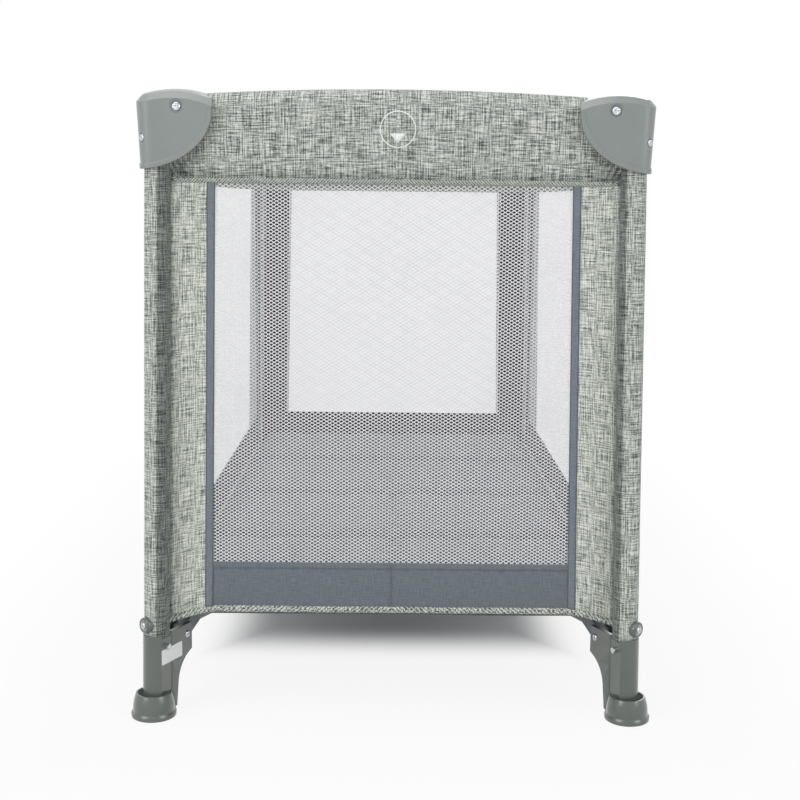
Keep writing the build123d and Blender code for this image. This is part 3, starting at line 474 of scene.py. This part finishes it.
# ---- Sleeves, corner strips and bands --------------------------------------------------
# Heather-grey cloth with a linen look: light and dark threads cross in it. A sleeve is
# sewn round each post, with a strip beside it and a grey woven band along the bottom.
WALL = Vector((277.5 * MM, 577.5 * MM, 0))
WALL_TOP = 655 * MM
BAND_TOP = 192 * MM
BAND_LOW = 134 * MM
STRIP = {"end": 62.8 * MM, "side": 90 * MM}
STRIP_MORE = 3.4 * MM
STRIP_TUCK = 13 * MM
HALF = {"end": POST_AT_RAIL.x, "side": POST_AT_RAIL.y}
SLEEVE_CUT = (97 * MM, 587 * MM)
SLEEVE_R = 15.4 * MM
BINDING_CUT = 9.4 * MM
BILLOW = 1.6 * MM


def thread_grain(tree, scale, detail=2.0, rough=0.5):
    """Noise drawn out along the threads, laid on the cloth as it was cut flat."""
    where = add(tree, "ShaderNodeUVMap", uv_map="cloth")
    stretch = add(tree, "ShaderNodeMapping")
    stretch.inputs["Scale"].default_value = scale + (1,)
    tree.links.new(where.outputs[0], stretch.inputs["Vector"])
    made = add(
        tree, "ShaderNodeTexNoise", noise_dimensions="2D", Scale=1.0, Detail=detail,
        Roughness=rough,
    )
    tree.links.new(stretch.outputs[0], made.inputs["Vector"])
    return made.outputs["Fac"]


def fold_shaded(tree, tone):
    """Paints shade into a cloth's colour, by its fold_shade attribute, where it is gathered or
    turned in.
    """
    fold = add(tree, "ShaderNodeAttribute", attribute_name="fold_shade")
    painted_shade = add(tree, "ShaderNodeMix", data_type="RGBA", blend_type="MULTIPLY")
    painted_shade.inputs[7].default_value = (0.34, 0.36, 0.36, 1)
    tree.links.new(fold.outputs["Fac"], painted_shade.inputs[0])
    tree.links.new(tone, painted_shade.inputs[6])
    return painted_shade.outputs[2]


def heather(name, dark, mid, light):
    """Linen-look cloth: slubbed threads up and across, in three tones."""
    made, tree, skin = start_material(name, 0.85)
    up = thread_grain(tree, (820, 38))
    across = thread_grain(tree, (48, 820))
    blotch = thread_grain(tree, (420, 420), 1)
    pair = calc(tree, "ADD", up, across)
    total = calc(tree, "MULTIPLY_ADD", pair, 0.42, calc(tree, "MULTIPLY", blotch, 0.16))
    tone = ramp(tree, total, [(0.37, dark), (0.60, light), (0.50, mid)])
    tree.links.new(fold_shaded(tree, tone), skin.inputs["Base Color"])
    skin.inputs["Sheen Weight"].default_value = 0.12
    bump(tree, skin, total, 0.35, 0.0008)
    return made


def woven(name, low, high, cut=True):
    """Close plain weave of a single colour, as on tape and webbing."""
    made, tree, skin = start_material(name, 0.8)
    if cut:
        up, across = thread_grain(tree, (1100, 70)), thread_grain(tree, (70, 1100))
    else:
        up, across = grain(tree, (1100, 1100, 60)), grain(tree, (60, 60, 1100))
    pair = calc(tree, "MULTIPLY", up, across)
    tone = ramp(tree, pair, [(0.15, low), (0.36, high)])
    tree.links.new(fold_shaded(tree, tone), skin.inputs["Base Color"])
    skin.inputs["Sheen Weight"].default_value = 0.1
    bump(tree, skin, pair, 0.3, 0.0005)
    return made


heather_cloth = heather(
    "heather_cloth", paint(74, 82, 76), paint(168, 173, 166), paint(226, 228, 219)
)
# The strips' heather is the sleeves' cloth painted lighter, a painted light.
strip_heather_painted_light = heather(
    "strip_heather_painted_light", paint(96, 104, 96), paint(190, 194, 185), paint(234, 236, 226)
)
band_cloth = woven("band_cloth", paint(103, 110, 118), paint(119, 126, 132))
binding_cloth = woven("binding_cloth", paint(110, 117, 126), paint(130, 136, 143))
lining_cloth = woven("lining_cloth", paint(36, 39, 42), paint(50, 54, 57))
bolt = [0.0]


def wall_grid(columns, rows, shape_at, flat_at, shade_at=None):
    """Sheet made from a grid: where each point goes, where it lay flat, and its painted shade.
    Each one is cut from a fresh length of the bolt, so no two have the same threads."""
    sheet = bmesh.new()
    bmesh.ops.create_grid(sheet, x_segments=columns, y_segments=rows, size=0.5)
    fold = sheet.verts.layers.float.new("fold_shade")
    cloth = sheet.loops.layers.uv.new("cloth")
    bolt[0] += 0.731
    for face in sheet.faces:
        for loop in face.loops:
            along, up = flat_at(loop.vert.co.x + 0.5, loop.vert.co.y + 0.5)
            loop[cloth].uv = (along + bolt[0], up)
    for v in sheet.verts:
        u, w = v.co.x + 0.5, v.co.y + 0.5
        v[fold] = shade_at(u, w) if shade_at else 0.0
        v.co = shape_at(u, w)
    return sheet


def plain_cut(width, height):
    """Cloth cut as a plain rectangle."""
    return lambda u, v: (u * width, v * height)


def step_up(value, low, high):
    """Goes smoothly from 0 at low to 1 at high."""
    share = min(1.0, max(0.0, (value - low) / (high - low)))
    return share * share * (3 - 2 * share)


def to_corner(shape, kind, sx, sy):
    """Takes a shape drawn as (along, outwards, up) on the end wall to its wall and corner."""
    if kind == "side":
        swap = Matrix(((0, 1, 0, 0), (1, 0, 0, 0), (0, 0, 1, 0), (0, 0, 0, 1)))
        bmesh.ops.transform(shape, matrix=swap, verts=shape.verts[:])
    bmesh.ops.scale(shape, vec=(sx, sy, 1), verts=shape.verts[:])
    if (kind == "side") != (sx * sy < 0):
        bmesh.ops.reverse_faces(shape, faces=shape.faces[:])


def thicken(piece, depth, outer=None):
    """Gives a sheet its thickness, and its outer side a cloth of its own if one is named."""
    made = piece.modifiers.new("thickness", "SOLIDIFY")
    made.thickness, made.offset = depth, 0
    if outer:
        piece.data.materials.append(outer)
        made.material_offset = made.material_offset_rim = 1


def wall_plane(kind):
    """How far out the cloth of a wall stands."""
    return WALL.y if kind == "end" else WALL.x


def wall_edge(kind, z):
    """Distance from the middle to the post axis at height z."""
    return HALF[kind] + (POST_AT_RAIL.z - z) * SPLAY


def gather(piece):
    """Gives a wall piece a mesh of its own."""
    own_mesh(piece)


def droop(from_post):
    """How far the lower edge of a wall hangs down near its post."""
    return 15 * MM * max(0.0, 1 - from_post / (60 * MM)) ** 1.4


def ripple(a, b, scale, depth):
    """Slow unevenness of stretched cloth."""
    return noise.noise(Vector((a * scale, b * scale, 3.7))) * depth


for corner, (sx, sy) in CORNERS.items():
    body = f"leg_{corner}"
    axis_low, axis_top = post_axis(101 * MM), post_axis(688 * MM)

    def sleeve_at(around, up):
        angle = around * 2 * math.pi
        base = axis_low.lerp(axis_top, up)
        seam = math.exp(-(((around - 0.615) * 30) ** 2)) * 0.9 * MM
        radius = SLEEVE_R + ripple(around * 6, up * 3, 2.0, 0.25 * MM) + seam
        return base + Vector((math.cos(angle) * radius, math.sin(angle) * radius, 0))

    # A sleeve has painted shade on its inner front and flank, where it is drawn in beside its
    # two strips; on the right-hand posts it starts further round.
    def sleeve_shade(around, up):
        turned = around * 360
        start = 91 if sx < 0 else 122
        front = step_up(turned, start, start + 9) * (1 - step_up(turned, 200, 215))
        flank = step_up(turned, 235, 250) * (1 - step_up(turned, 351, 359))
        return 0.92 * max(front, flank)

    sleeve = wall_grid(72, 60, sleeve_at, plain_cut(*SLEEVE_CUT), sleeve_shade)
    bmesh.ops.remove_doubles(sleeve, verts=sleeve.verts[:], dist=1e-6)
    to_corner(sleeve, "end", sx, sy)
    piece = finish_piece(sleeve, f"post_sleeve_{corner}", heather_cloth, body)
    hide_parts(f"wall_cloth_{corner}")

    for kind in ("end", "side"):
        plane = wall_plane(kind)
        reach = STRIP[kind] + (STRIP_MORE if kind == "end" and sx > 0 else 0)
        width = reach - STRIP_TUCK
        tall = WALL_TOP - BAND_LOW

        def strip_at(u, v):
            low = BAND_LOW - droop(width * (1 - u))
            z = low + (WALL_TOP - low) * v
            along = wall_edge(kind, z) - STRIP_TUCK - width * (1 - u)
            pull = 1.5 * MM * math.exp(-((1 - u) * 7) ** 2)
            return Vector((along, plane + ripple(along, z, 9, BILLOW) + pull, z))

        # Painted shade along the strip's edge beside the sleeve.
        def strip_shade(u, v):
            return 0.8 * step_up(u, 0.86, 0.97)

        strip = wall_grid(28, 70, strip_at, plain_cut(width, tall), strip_shade)
        to_corner(strip, kind, sx, sy)
        piece = finish_piece(strip, f"strip_{kind}_{corner}", lining_cloth, body)
        thicken(piece, 1.6 * MM, strip_heather_painted_light)
        gather(piece)

        def band_at(u, v):
            z = BAND_LOW + (BAND_TOP - BAND_LOW) * v
            along = (wall_edge(kind, z) - reach + 3 * MM) * u
            hem = 0.7 * MM * step_up(v, 0.86, 0.885)
            wave = ripple(along, z, 8, 1.4 * MM) * step_up(along, 0, 70 * MM)
            return Vector((along, plane + wave + hem, z))

        # Painted shade in a line under the hem fold and, more faintly, towards the bottom of
        # the band.
        def band_shade(u, v):
            return 0.45 * math.exp(-(((v - 0.868) * 55) ** 2)) + 0.12 * (1 - v)

        cut = plain_cut(HALF[kind] - reach, BAND_TOP - BAND_LOW)
        band = wall_grid(40, 40, band_at, cut, band_shade)
        to_corner(band, kind, sx, sy)
        piece = finish_piece(band, f"band_{kind}_{corner}", lining_cloth, body)
        thicken(piece, 1.8 * MM, band_cloth)
        gather(piece)

        def binding_at(u, v):
            z = BAND_LOW + tall * v
            along = wall_edge(kind, z) - reach - 4.4 * MM + BINDING_CUT * u
            crown = 0.9 * MM * (1 - (2 * u - 1) ** 4)
            return Vector((along, plane + 0.7 * MM + crown + ripple(along, z, 9, BILLOW), z))

        # Painted shade along both edges of the binding.
        def binding_shade(u, v):
            return 0.65 * (step_up(u, 0.78, 0.95) + 1 - step_up(u, 0.05, 0.2))

        binding = wall_grid(14, 90, binding_at, plain_cut(BINDING_CUT, tall), binding_shade)
        to_corner(binding, kind, sx, sy)
        piece = finish_piece(
            binding, f"binding_{kind}_{corner}", binding_cloth, body
        )
        thicken(piece, 1.2 * MM)
        gather(piece)

# ---- Piping ----------------------------------------------------------------------------
# Bias-cut heather tape folded over a cord, sewn along the bottom of the walls and the
# lower edge of the rail covers.


def twill_tape(name, dark, light, pitch, waver):
    """Bias tape: its threads run slantwise round the cord."""
    made, tree, skin = start_material(name, 0.85)
    where = add(tree, "ShaderNodeUVMap", uv_map="along")
    slant = add(
        tree, "ShaderNodeTexWave", wave_type="BANDS", bands_direction="DIAGONAL", Scale=pitch,
        Distortion=waver, Detail=2, Detail_Scale=3,
    )
    tree.links.new(where.outputs[0], slant.inputs["Vector"])
    fleck = calc(tree, "MULTIPLY", grain(tree, (520, 520, 520), 2), 0.5)
    both = calc(tree, "MULTIPLY_ADD", slant.outputs["Fac"], 0.5, fleck)
    tone = ramp(tree, both, [(0.28, dark), (0.7, light)])
    tree.links.new(tone, skin.inputs["Base Color"])
    bump(tree, skin, both, 0.35, 0.0006)
    return made


piping_tape = twill_tape("piping_tape", paint(104, 112, 105), paint(200, 204, 194), 14, 3.2)
hem_tape = twill_tape("hem_tape", paint(80, 88, 82), paint(212, 215, 206), 9, 7.0)


def cord_along(points, radius, around=14):
    """Round cord swept through points, with a UV map that runs along and round it."""
    cord = bmesh.new()
    layer = cord.loops.layers.uv.new("along")
    rings = []
    for index, point in enumerate(points):
        ahead = points[min(index + 1, len(points) - 1)] - points[max(index - 1, 0)]
        turn = ahead.to_track_quat("Z", "Y").to_matrix()
        made = bmesh.ops.create_circle(cord, segments=around, radius=radius)
        bmesh.ops.transform(
            cord, matrix=Matrix.Translation(point) @ turn.to_4x4(), verts=made["verts"]
        )
        rings.append(made["verts"])
    length = 0.0
    for first, second, start, end in zip(rings, rings[1:], points, points[1:]):
        step = (end - start).length
        for k in range(around):
            n = (k + 1) % around
            face = cord.faces.new((first[k], first[n], second[n], second[k]))
            share = (k / around, (k + 1) / around)
            girth = 2 * math.pi * radius
            spots = (
                (length, share[0]), (length, share[1]), (length + step, share[1]),
                (length + step, share[0]),
            )
            for loop, (run, turn_share) in zip(face.loops, spots):
                loop[layer].uv = (run * 12, turn_share * girth * 12)
        length += step
    cord.faces.new(list(reversed(rings[0])))
    cord.faces.new(rings[-1])
    bmesh.ops.recalc_face_normals(cord, faces=cord.faces[:])
    return cord


PIPING = 4.3 * MM
PIPING_Z = 132.6 * MM
for corner, (sx, sy) in CORNERS.items():
    for kind in ("end", "side"):
        plane = wall_plane(kind)
        end = wall_edge(kind, 130 * MM) - 12 * MM
        path = []
        for index in range(73):
            along = end * index / 72
            path.append(Vector((along, plane, PIPING_Z - droop(end - along))))
        cord = cord_along(path, PIPING)
        to_corner(cord, kind, sx, sy)
        body = f"leg_{corner}"
        piece = finish_piece(cord, f"piping_{kind}_{corner}", hem_tape, body)
        gather(piece)

# ---- Net windows -----------------------------------------------------------------------
# Fine white knitted net with rows of small holes, each row set half a step along. It is
# cut to the window and sewn under the binding, the band and the rail cover.
STEP_ALONG = 7.0 * MM
STEP_UP = 2.1 * MM
HOLE = Vector((0.56, 0.87, 1))


net_white, net_skin = speckled(
    "net_thread", 0.75, 900, 2, [(0.3, paint(246, 245, 248)), (0.7, paint(253, 252, 254))],
    (0.2, 0.0003),
)
net_skin.inputs["Sheen Weight"].default_value = 0.1


def moved_copy(shape, by):
    """Adds a copy of all that is there, moved by a step."""
    copy = bmesh.ops.duplicate(shape, geom=everything(shape))
    moved = [g for g in copy["geom"] if isinstance(g, bmesh.types.BMVert)]
    bmesh.ops.translate(shape, vec=by, verts=moved)


def trim(shape, place, out):
    """Cuts away what lies beyond a plane."""
    bmesh.ops.bisect_plane(
        shape, geom=everything(shape), plane_co=place, plane_no=out, clear_outer=True
    )


def net_field(width, height):
    """Field of six-sided meshes, each with its hole, doubled until it is large enough."""
    field = bmesh.new()
    outer = bmesh.ops.create_circle(field, segments=6, radius=1)["verts"]
    inner = bmesh.ops.create_circle(field, segments=6, radius=0.5)["verts"]
    edges = list({e for v in outer + inner for e in v.link_edges})
    bmesh.ops.bridge_loops(field, edges=edges)
    bmesh.ops.rotate(
        field, cent=(0, 0, 0), matrix=Matrix.Rotation(math.pi / 6, 3, "Z"), verts=field.verts[:]
    )
    wide = STEP_ALONG / 2 / math.cos(math.pi / 6)
    tall = STEP_UP * 2 / 3
    bmesh.ops.scale(field, vec=(wide, tall, 1), verts=field.verts[:])
    bmesh.ops.scale(field, vec=HOLE * 2, verts=inner)
    moved_copy(field, (STEP_ALONG / 2, STEP_UP, 0))
    for vec, limit in (((STEP_ALONG, 0, 0), width), ((0, 2 * STEP_UP, 0), height)):
        step = Vector(vec)
        while step.length / 2 < limit:
            moved_copy(field, step)
            step = step * 2
        way = Vector(vec).normalized()
        trim(field, way * (limit + STEP_UP), way)
    bmesh.ops.remove_doubles(field, verts=field.verts[:], dist=0.02 * MM)
    return field


def net_window(kind):
    """Net for half a wall, trimmed to the middle, the band, the cover and the strip."""
    low, top = BAND_TOP - 3 * MM, WALL_TOP
    width = wall_edge(kind, low) - STRIP[kind] + 6 * MM
    field = net_field(width + 2 * STEP_ALONG, top - low + 2 * STEP_UP)
    stand = Matrix.Translation((-STEP_ALONG, 0, low - STEP_UP)) @ Matrix.Rotation(
        math.pi / 2, 4, "X"
    )
    bmesh.ops.transform(field, matrix=stand, verts=field.verts[:])
    edge_low = Vector((wall_edge(kind, low) - STRIP[kind], 0, low))
    edge_top = Vector((wall_edge(kind, top) - STRIP[kind], 0, top))
    lean = (edge_top - edge_low).cross(Vector((0, 1, 0))).normalized()
    if lean.x < 0:
        lean = -lean
    for place, out in (
        (Vector((0, 0, 0)), Vector((-1, 0, 0))), (Vector((0, 0, low)), Vector((0, 0, -1))),
        (Vector((0, 0, top)), Vector((0, 0, 1))), (edge_low, lean),
    ):
        trim(field, place, out)
    plane = wall_plane(kind)
    for v in field.verts:
        v.co.y = plane + ripple(v.co.x, v.co.z, 5, 1.0 * MM) * min(1, v.co.x / (30 * MM))
    return field


for kind in ("end", "side"):
    pattern = net_window(kind)
    for corner, (sx, sy) in CORNERS.items():
        half = pattern.copy()
        to_corner(half, kind, sx, sy)
        piece = finish_piece(half, f"net_{kind}_{corner}", net_white, f"leg_{corner}")
        if kind == "end":
            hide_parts(f"net_window_{corner}")
        gather(piece)
    pattern.free()

# ---- Rail covers -----------------------------------------------------------------------
# Padded heather sleeves over the top rails, round on top and drawn to a thin hem with
# piping. They stand higher in the middle, over the latch, and are tucked into pleats
# where they go in under the corner housings.
COVER_END = {"end": 262 * MM, "side": 562 * MM}
COVER_CUT = 212 * MM
COVER_PIPING = 3.9 * MM
HEM = 654.2 * MM
HEM_R = 3.0 * MM
HEM_SHARE, FLANK_SHARE = 0.04, 0.36
PLEAT_FOOT = 668 * MM
PLEAT_STEP = 7.5 * MM


def cover_shape(kind, along):
    """Radius and height of the round top at a distance from the middle."""
    share = 1 - along / COVER_END[kind]
    rise = 1 - (1 - share) ** 2
    return (14.6 + 2.2 * rise) * MM, (735.8 + 7.2 * rise) * MM


def cover_point(kind, along, around):
    """Point on a cover: around runs 0 to 1 from the hem, up the outside and down again."""
    radius, height = cover_shape(kind, along)
    lean = math.asin((radius - HEM_R) / (height - HEM))
    turned = around if around <= 0.5 else 1 - around
    side = 1 if around <= 0.5 else -1
    if turned < HEM_SHARE:
        angle = -math.pi / 2 + (math.pi / 2 - lean) * turned / HEM_SHARE
        out, up = HEM_R * math.cos(angle), HEM + HEM_R * math.sin(angle)
    elif turned < FLANK_SHARE:
        share = (turned - HEM_SHARE) / (FLANK_SHARE - HEM_SHARE)
        low = (HEM_R * math.cos(-lean), HEM + HEM_R * math.sin(-lean))
        high = (radius * math.cos(-lean), height + radius * math.sin(-lean))
        out = low[0] + (high[0] - low[0]) * share
        up = low[1] + (high[1] - low[1]) * share
        out += 1.2 * MM * math.sin(math.pi * share)
    else:
        share = (turned - FLANK_SHARE) / (0.5 - FLANK_SHARE)
        angle = -lean + (math.pi / 2 + lean) * share
        out, up = radius * math.cos(angle), height + radius * math.sin(angle)
    pleat = 0.0
    from_end = COVER_END[kind] - along
    slant = from_end + (up - PLEAT_FOOT) * 0.55
    if 0.02 < turned < 0.42:
        fade = math.exp(-((from_end / (26 * MM)) ** 2))
        pleat = math.cos(slant / PLEAT_STEP * 2 * math.pi) * 1.8 * MM * fade
    crease = ripple(along, up, 22, 1.1 * MM) + ripple(along, up * 2, 60, 0.35 * MM)
    puff = crease * min(1.0, turned / 0.1)
    return Vector((along, side * (out + pleat + puff) + wall_plane(kind), up))


def flatten_on_rail(piece):
    """Gives a cover piece a mesh of its own."""
    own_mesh(piece)


for corner, (sx, sy) in CORNERS.items():
    for kind in ("end", "side"):
        body = f"{kind}_rail_{corner}"
        reach = COVER_END[kind] + 2 * MM
        columns = 90 if kind == "end" else 150

        def cover_along(u):
            return reach * (1 - (1 - u) ** 1.25)

        def cover_at(u, v):
            return cover_point(kind, cover_along(u), v)

        # Painted shade in the pleat valleys and on the lower flank near the housing, and along
        # the hem.
        def cover_shade(u, v):
            along = cover_along(u)
            turned = v if v <= 0.5 else 1 - v
            up = cover_point(kind, along, v).z
            from_end = COVER_END[kind] - along
            slant = (from_end + (up - PLEAT_FOOT) * 0.55) / PLEAT_STEP
            near = math.exp(-((from_end / (30 * MM)) ** 2)) * (1 - step_up(turned, 0.2, 0.36))
            valley = 0.5 - 0.5 * math.cos(slant * 2 * math.pi)
            hem = 0.6 * (1 - step_up(turned, 0.05, 0.1))
            return min(0.9, near * (0.3 + 0.5 * valley) + hem)

        def cover_flat(u, v):
            return cover_along(u), COVER_CUT * v

        cover = wall_grid(columns, 88, cover_at, cover_flat, cover_shade)
        bmesh.ops.remove_doubles(cover, verts=cover.verts[:], dist=1e-6)
        to_corner(cover, kind, sx, sy)
        name = f"rail_cover_{kind}_{corner}"
        piece = finish_piece(cover, name, heather_cloth, body)
        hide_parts(f"{kind}_cover_{corner}")
        flatten_on_rail(piece)

        path = []
        for index in range(61):
            along = (COVER_END[kind] - 0.5 * MM) * index / 60
            near = max(0.0, 1 - (COVER_END[kind] - along) / (8 * MM))
            up = HEM - 0.3 * MM + 4 * MM * near**2
            path.append(Vector((along, wall_plane(kind) + 0.4 * MM, up)))
        cord = cord_along(path, COVER_PIPING)
        to_corner(cord, kind, sx, sy)
        name = f"cover_piping_{kind}_{corner}"
        piece = finish_piece(cord, name, piping_tape, body)
        flatten_on_rail(piece)

# ---- Printed mark ----------------------------------------------------------------------
# A thin white ring with a plain downward triangle is printed on the front cover, where the
# latch is pressed.
MARK = Vector((2 * MM, 0, 713.6 * MM))
MARK_R = 21.2 * MM
MARK_LINE = 1.3 * MM


mark_white, _ = speckled(
    "print_white", 0.6, 1500, 2, [(0.35, paint(244, 246, 244)), (0.6, paint(254, 254, 253))],
    (0.3, 0.0003),
)


def mark_shape():
    """Ring and triangle, drawn flat as (across, up)."""
    mark = bmesh.new()
    outer = bmesh.ops.create_circle(mark, segments=96, radius=MARK_R)["verts"]
    inner = bmesh.ops.create_circle(mark, segments=96, radius=MARK_R - MARK_LINE)["verts"]
    bmesh.ops.bridge_loops(mark, edges=list({e for v in outer + inner for e in v.link_edges}))
    corners = [(0, -15.8), (9.8, -4.6), (-9.8, -4.6)]
    mark.faces.new([mark.verts.new((x * MM, y * MM, 0)) for x, y in corners])
    bmesh.ops.subdivide_edges(
        mark, edges=[e for e in mark.edges if e.calc_length() > 3 * MM], cuts=4,
        use_grid_fill=True,
    )
    return mark


def cover_front(across, z):
    """How far out the front of the end cover lies, at a place on it."""
    low, high = 0.03, 0.47
    for _ in range(24):
        best = (low + high) / 2
        if cover_point("end", abs(across), best).z < z:
            low = best
        else:
            high = best
    return cover_point("end", abs(across), best).y


for corner in ("front_left", "front_right"):
    sx, sy = CORNERS[corner]
    mark = mark_shape()
    bmesh.ops.translate(mark, vec=(MARK.x, MARK.z, 0), verts=mark.verts[:])
    trim(mark, (0, 0, 0), (-sx, 0, 0))
    for v in mark.verts:
        v.co = Vector((v.co.x, -cover_front(v.co.x, v.co.y) - 0.25 * MM, v.co.y))
    bmesh.ops.recalc_face_normals(mark, faces=mark.faces[:])
    body = f"end_rail_{corner}"
    piece = finish_piece(mark, f"printed_mark_{corner}", mark_white, body)
    thicken(piece, 0.3 * MM)
    flatten_on_rail(piece)

# ---- Blank label -----------------------------------------------------------------------
# A plain white paper label with rounded corners. It is stuck on the left front foot, over
# the flat of the tube and the web beside it.
LABEL = (43.5 * MM, 19 * MM, 1)
LABEL_Z = 76 * MM
label_paper, _ = speckled(
    "label_paper", 0.5, 700, 3, [(0.3, paint(246, 247, 246)), (0.7, paint(254, 254, 253))],
    (0.15, 0.0002),
)
label = bmesh.new()
bmesh.ops.create_grid(label, x_segments=1, y_segments=1, size=0.5)
bmesh.ops.scale(label, vec=LABEL, verts=label.verts[:])
bmesh.ops.bevel(
    label, geom=label.verts[:], affect="VERTICES", offset=1.5 * MM, segments=4, profile=0.5,
    material=-1,
)
inward, side = web_frame(-1, -1)
spot = on_corner(post_axis(LABEL_Z), -1, -1) + inward * 12.4 * MM
spot += side * (FOOT_FLAT + 0.15 * MM)
turn = Matrix((inward, Vector((0, 0, 1)), side)).transposed().to_4x4()
bmesh.ops.transform(label, matrix=Matrix.Translation(spot) @ turn, verts=label.verts[:])
piece = finish_piece(
    label, "blank_label", label_paper, "leg_front_left", smooth=False
)
thicken(piece, 0.2 * MM)

# ---- Floor cloth, mat and strap --------------------------------------------------------
# The floor is grey cloth sewn to the walls. On it lies a padded mat of four panels with
# boards inside, joined by sewn folds. A webbing strap on the hub pulls the frame shut.
FLOOR_CUT = (555.6 * MM, 1155.6 * MM)
FLOOR_Z = 127.1 * MM
FLOOR_NOTCH = Vector((262 * MM, 562 * MM, 0))
floor_cloth = woven("floor_cloth", paint(88, 94, 101), paint(108, 114, 120))


def floor_at(u, v):
    """Point of the floor; its corners are notched round the posts."""
    x, y = (u - 0.5) * FLOOR_CUT[0], (v - 0.5) * FLOOR_CUT[1]
    if abs(x) > FLOOR_NOTCH.x and abs(y) > FLOOR_NOTCH.y:
        x, y = math.copysign(FLOOR_NOTCH.x, x), math.copysign(FLOOR_NOTCH.y, y)
    return Vector((x, y, FLOOR_Z + ripple(x, y, 12, 0.6 * MM)))


def crumple_lengthwise(piece):
    """Gives a floor piece a mesh of its own."""
    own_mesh(piece)


cloth = wall_grid(60, 120, floor_at, plain_cut(*FLOOR_CUT))
bmesh.ops.remove_doubles(cloth, verts=cloth.verts[:], dist=0.1 * MM)
hole = [
    f for f in cloth.faces
    if -4 * MM < f.calc_center_median().x < 8 * MM and abs(f.calc_center_median().y) < 16 * MM
]
bmesh.ops.delete(cloth, geom=hole, context="FACES")
piece = finish_piece(cloth, "floor_cloth", floor_cloth, "mat")
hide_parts("floor_sheet")
thicken(piece, 1.6 * MM)
crumple_lengthwise(piece)

mat_cloth = woven("mat_cloth", paint(62, 67, 72), paint(84, 89, 94))
PANEL = Vector((269 * MM, 142.25 * MM, 0))
PANEL_LOW = 130.7 * MM
CHANNEL = 90 * MM


def mat_panel():
    """One panel: a pad whose edges are drawn in, with a sewn line round it."""
    pad = bmesh.new()
    bmesh.ops.create_grid(pad, x_segments=76, y_segments=40, size=0.5)
    top = []
    for v in pad.verts:
        u, w = v.co.x * 2, v.co.y * 2
        edge = min(1 - abs(u), (1 - abs(w)) * PANEL.y / PANEL.x) * PANEL.x
        swell = 1 - math.exp(-edge / (9 * MM))
        quilt = abs(math.sin(u * PANEL.x / CHANNEL * math.pi)) ** 0.35
        seam = 0.72 + 0.28 * quilt
        v.co = Vector((
            u * (PANEL.x - 1 * MM), w * (PANEL.y - 1 * MM),
            (133.2 + 21.5 * swell * seam) * MM + ripple(u, w, 6, 0.5 * MM) * swell,
        ))
    return pad


for index in range(4):
    pad = mat_panel()
    edge = [e for e in pad.edges if e.is_boundary]
    drop = bmesh.ops.extrude_edge_only(pad, edges=edge)
    low = [g for g in drop["geom"] if isinstance(g, bmesh.types.BMVert)]
    for v in low:
        v.co.z = PANEL_LOW
    bmesh.ops.contextual_create(pad, geom=[e for e in pad.edges if e.is_boundary])
    bmesh.ops.translate(pad, vec=(0, (index - 1.5) * 2 * PANEL.y, 0), verts=pad.verts[:])
    cut_flat = pad.loops.layers.uv.new("cloth")
    for face in pad.faces:
        for loop in face.loops:
            place = loop.vert.co
            loop[cut_flat].uv = (place.x, place.y + place.z)
    bmesh.ops.recalc_face_normals(pad, faces=pad.faces[:])
    piece = finish_piece(pad, f"mat_panel_{index + 1}", mat_cloth, "mat")
    if index == 0:
        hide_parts("floor_mat")
        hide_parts("mat_boards")
    crumple_lengthwise(piece)

strap_cloth = woven("strap_cloth", paint(48, 51, 54), paint(66, 69, 72), cut=False)
dress("pull_strap", strap_cloth)
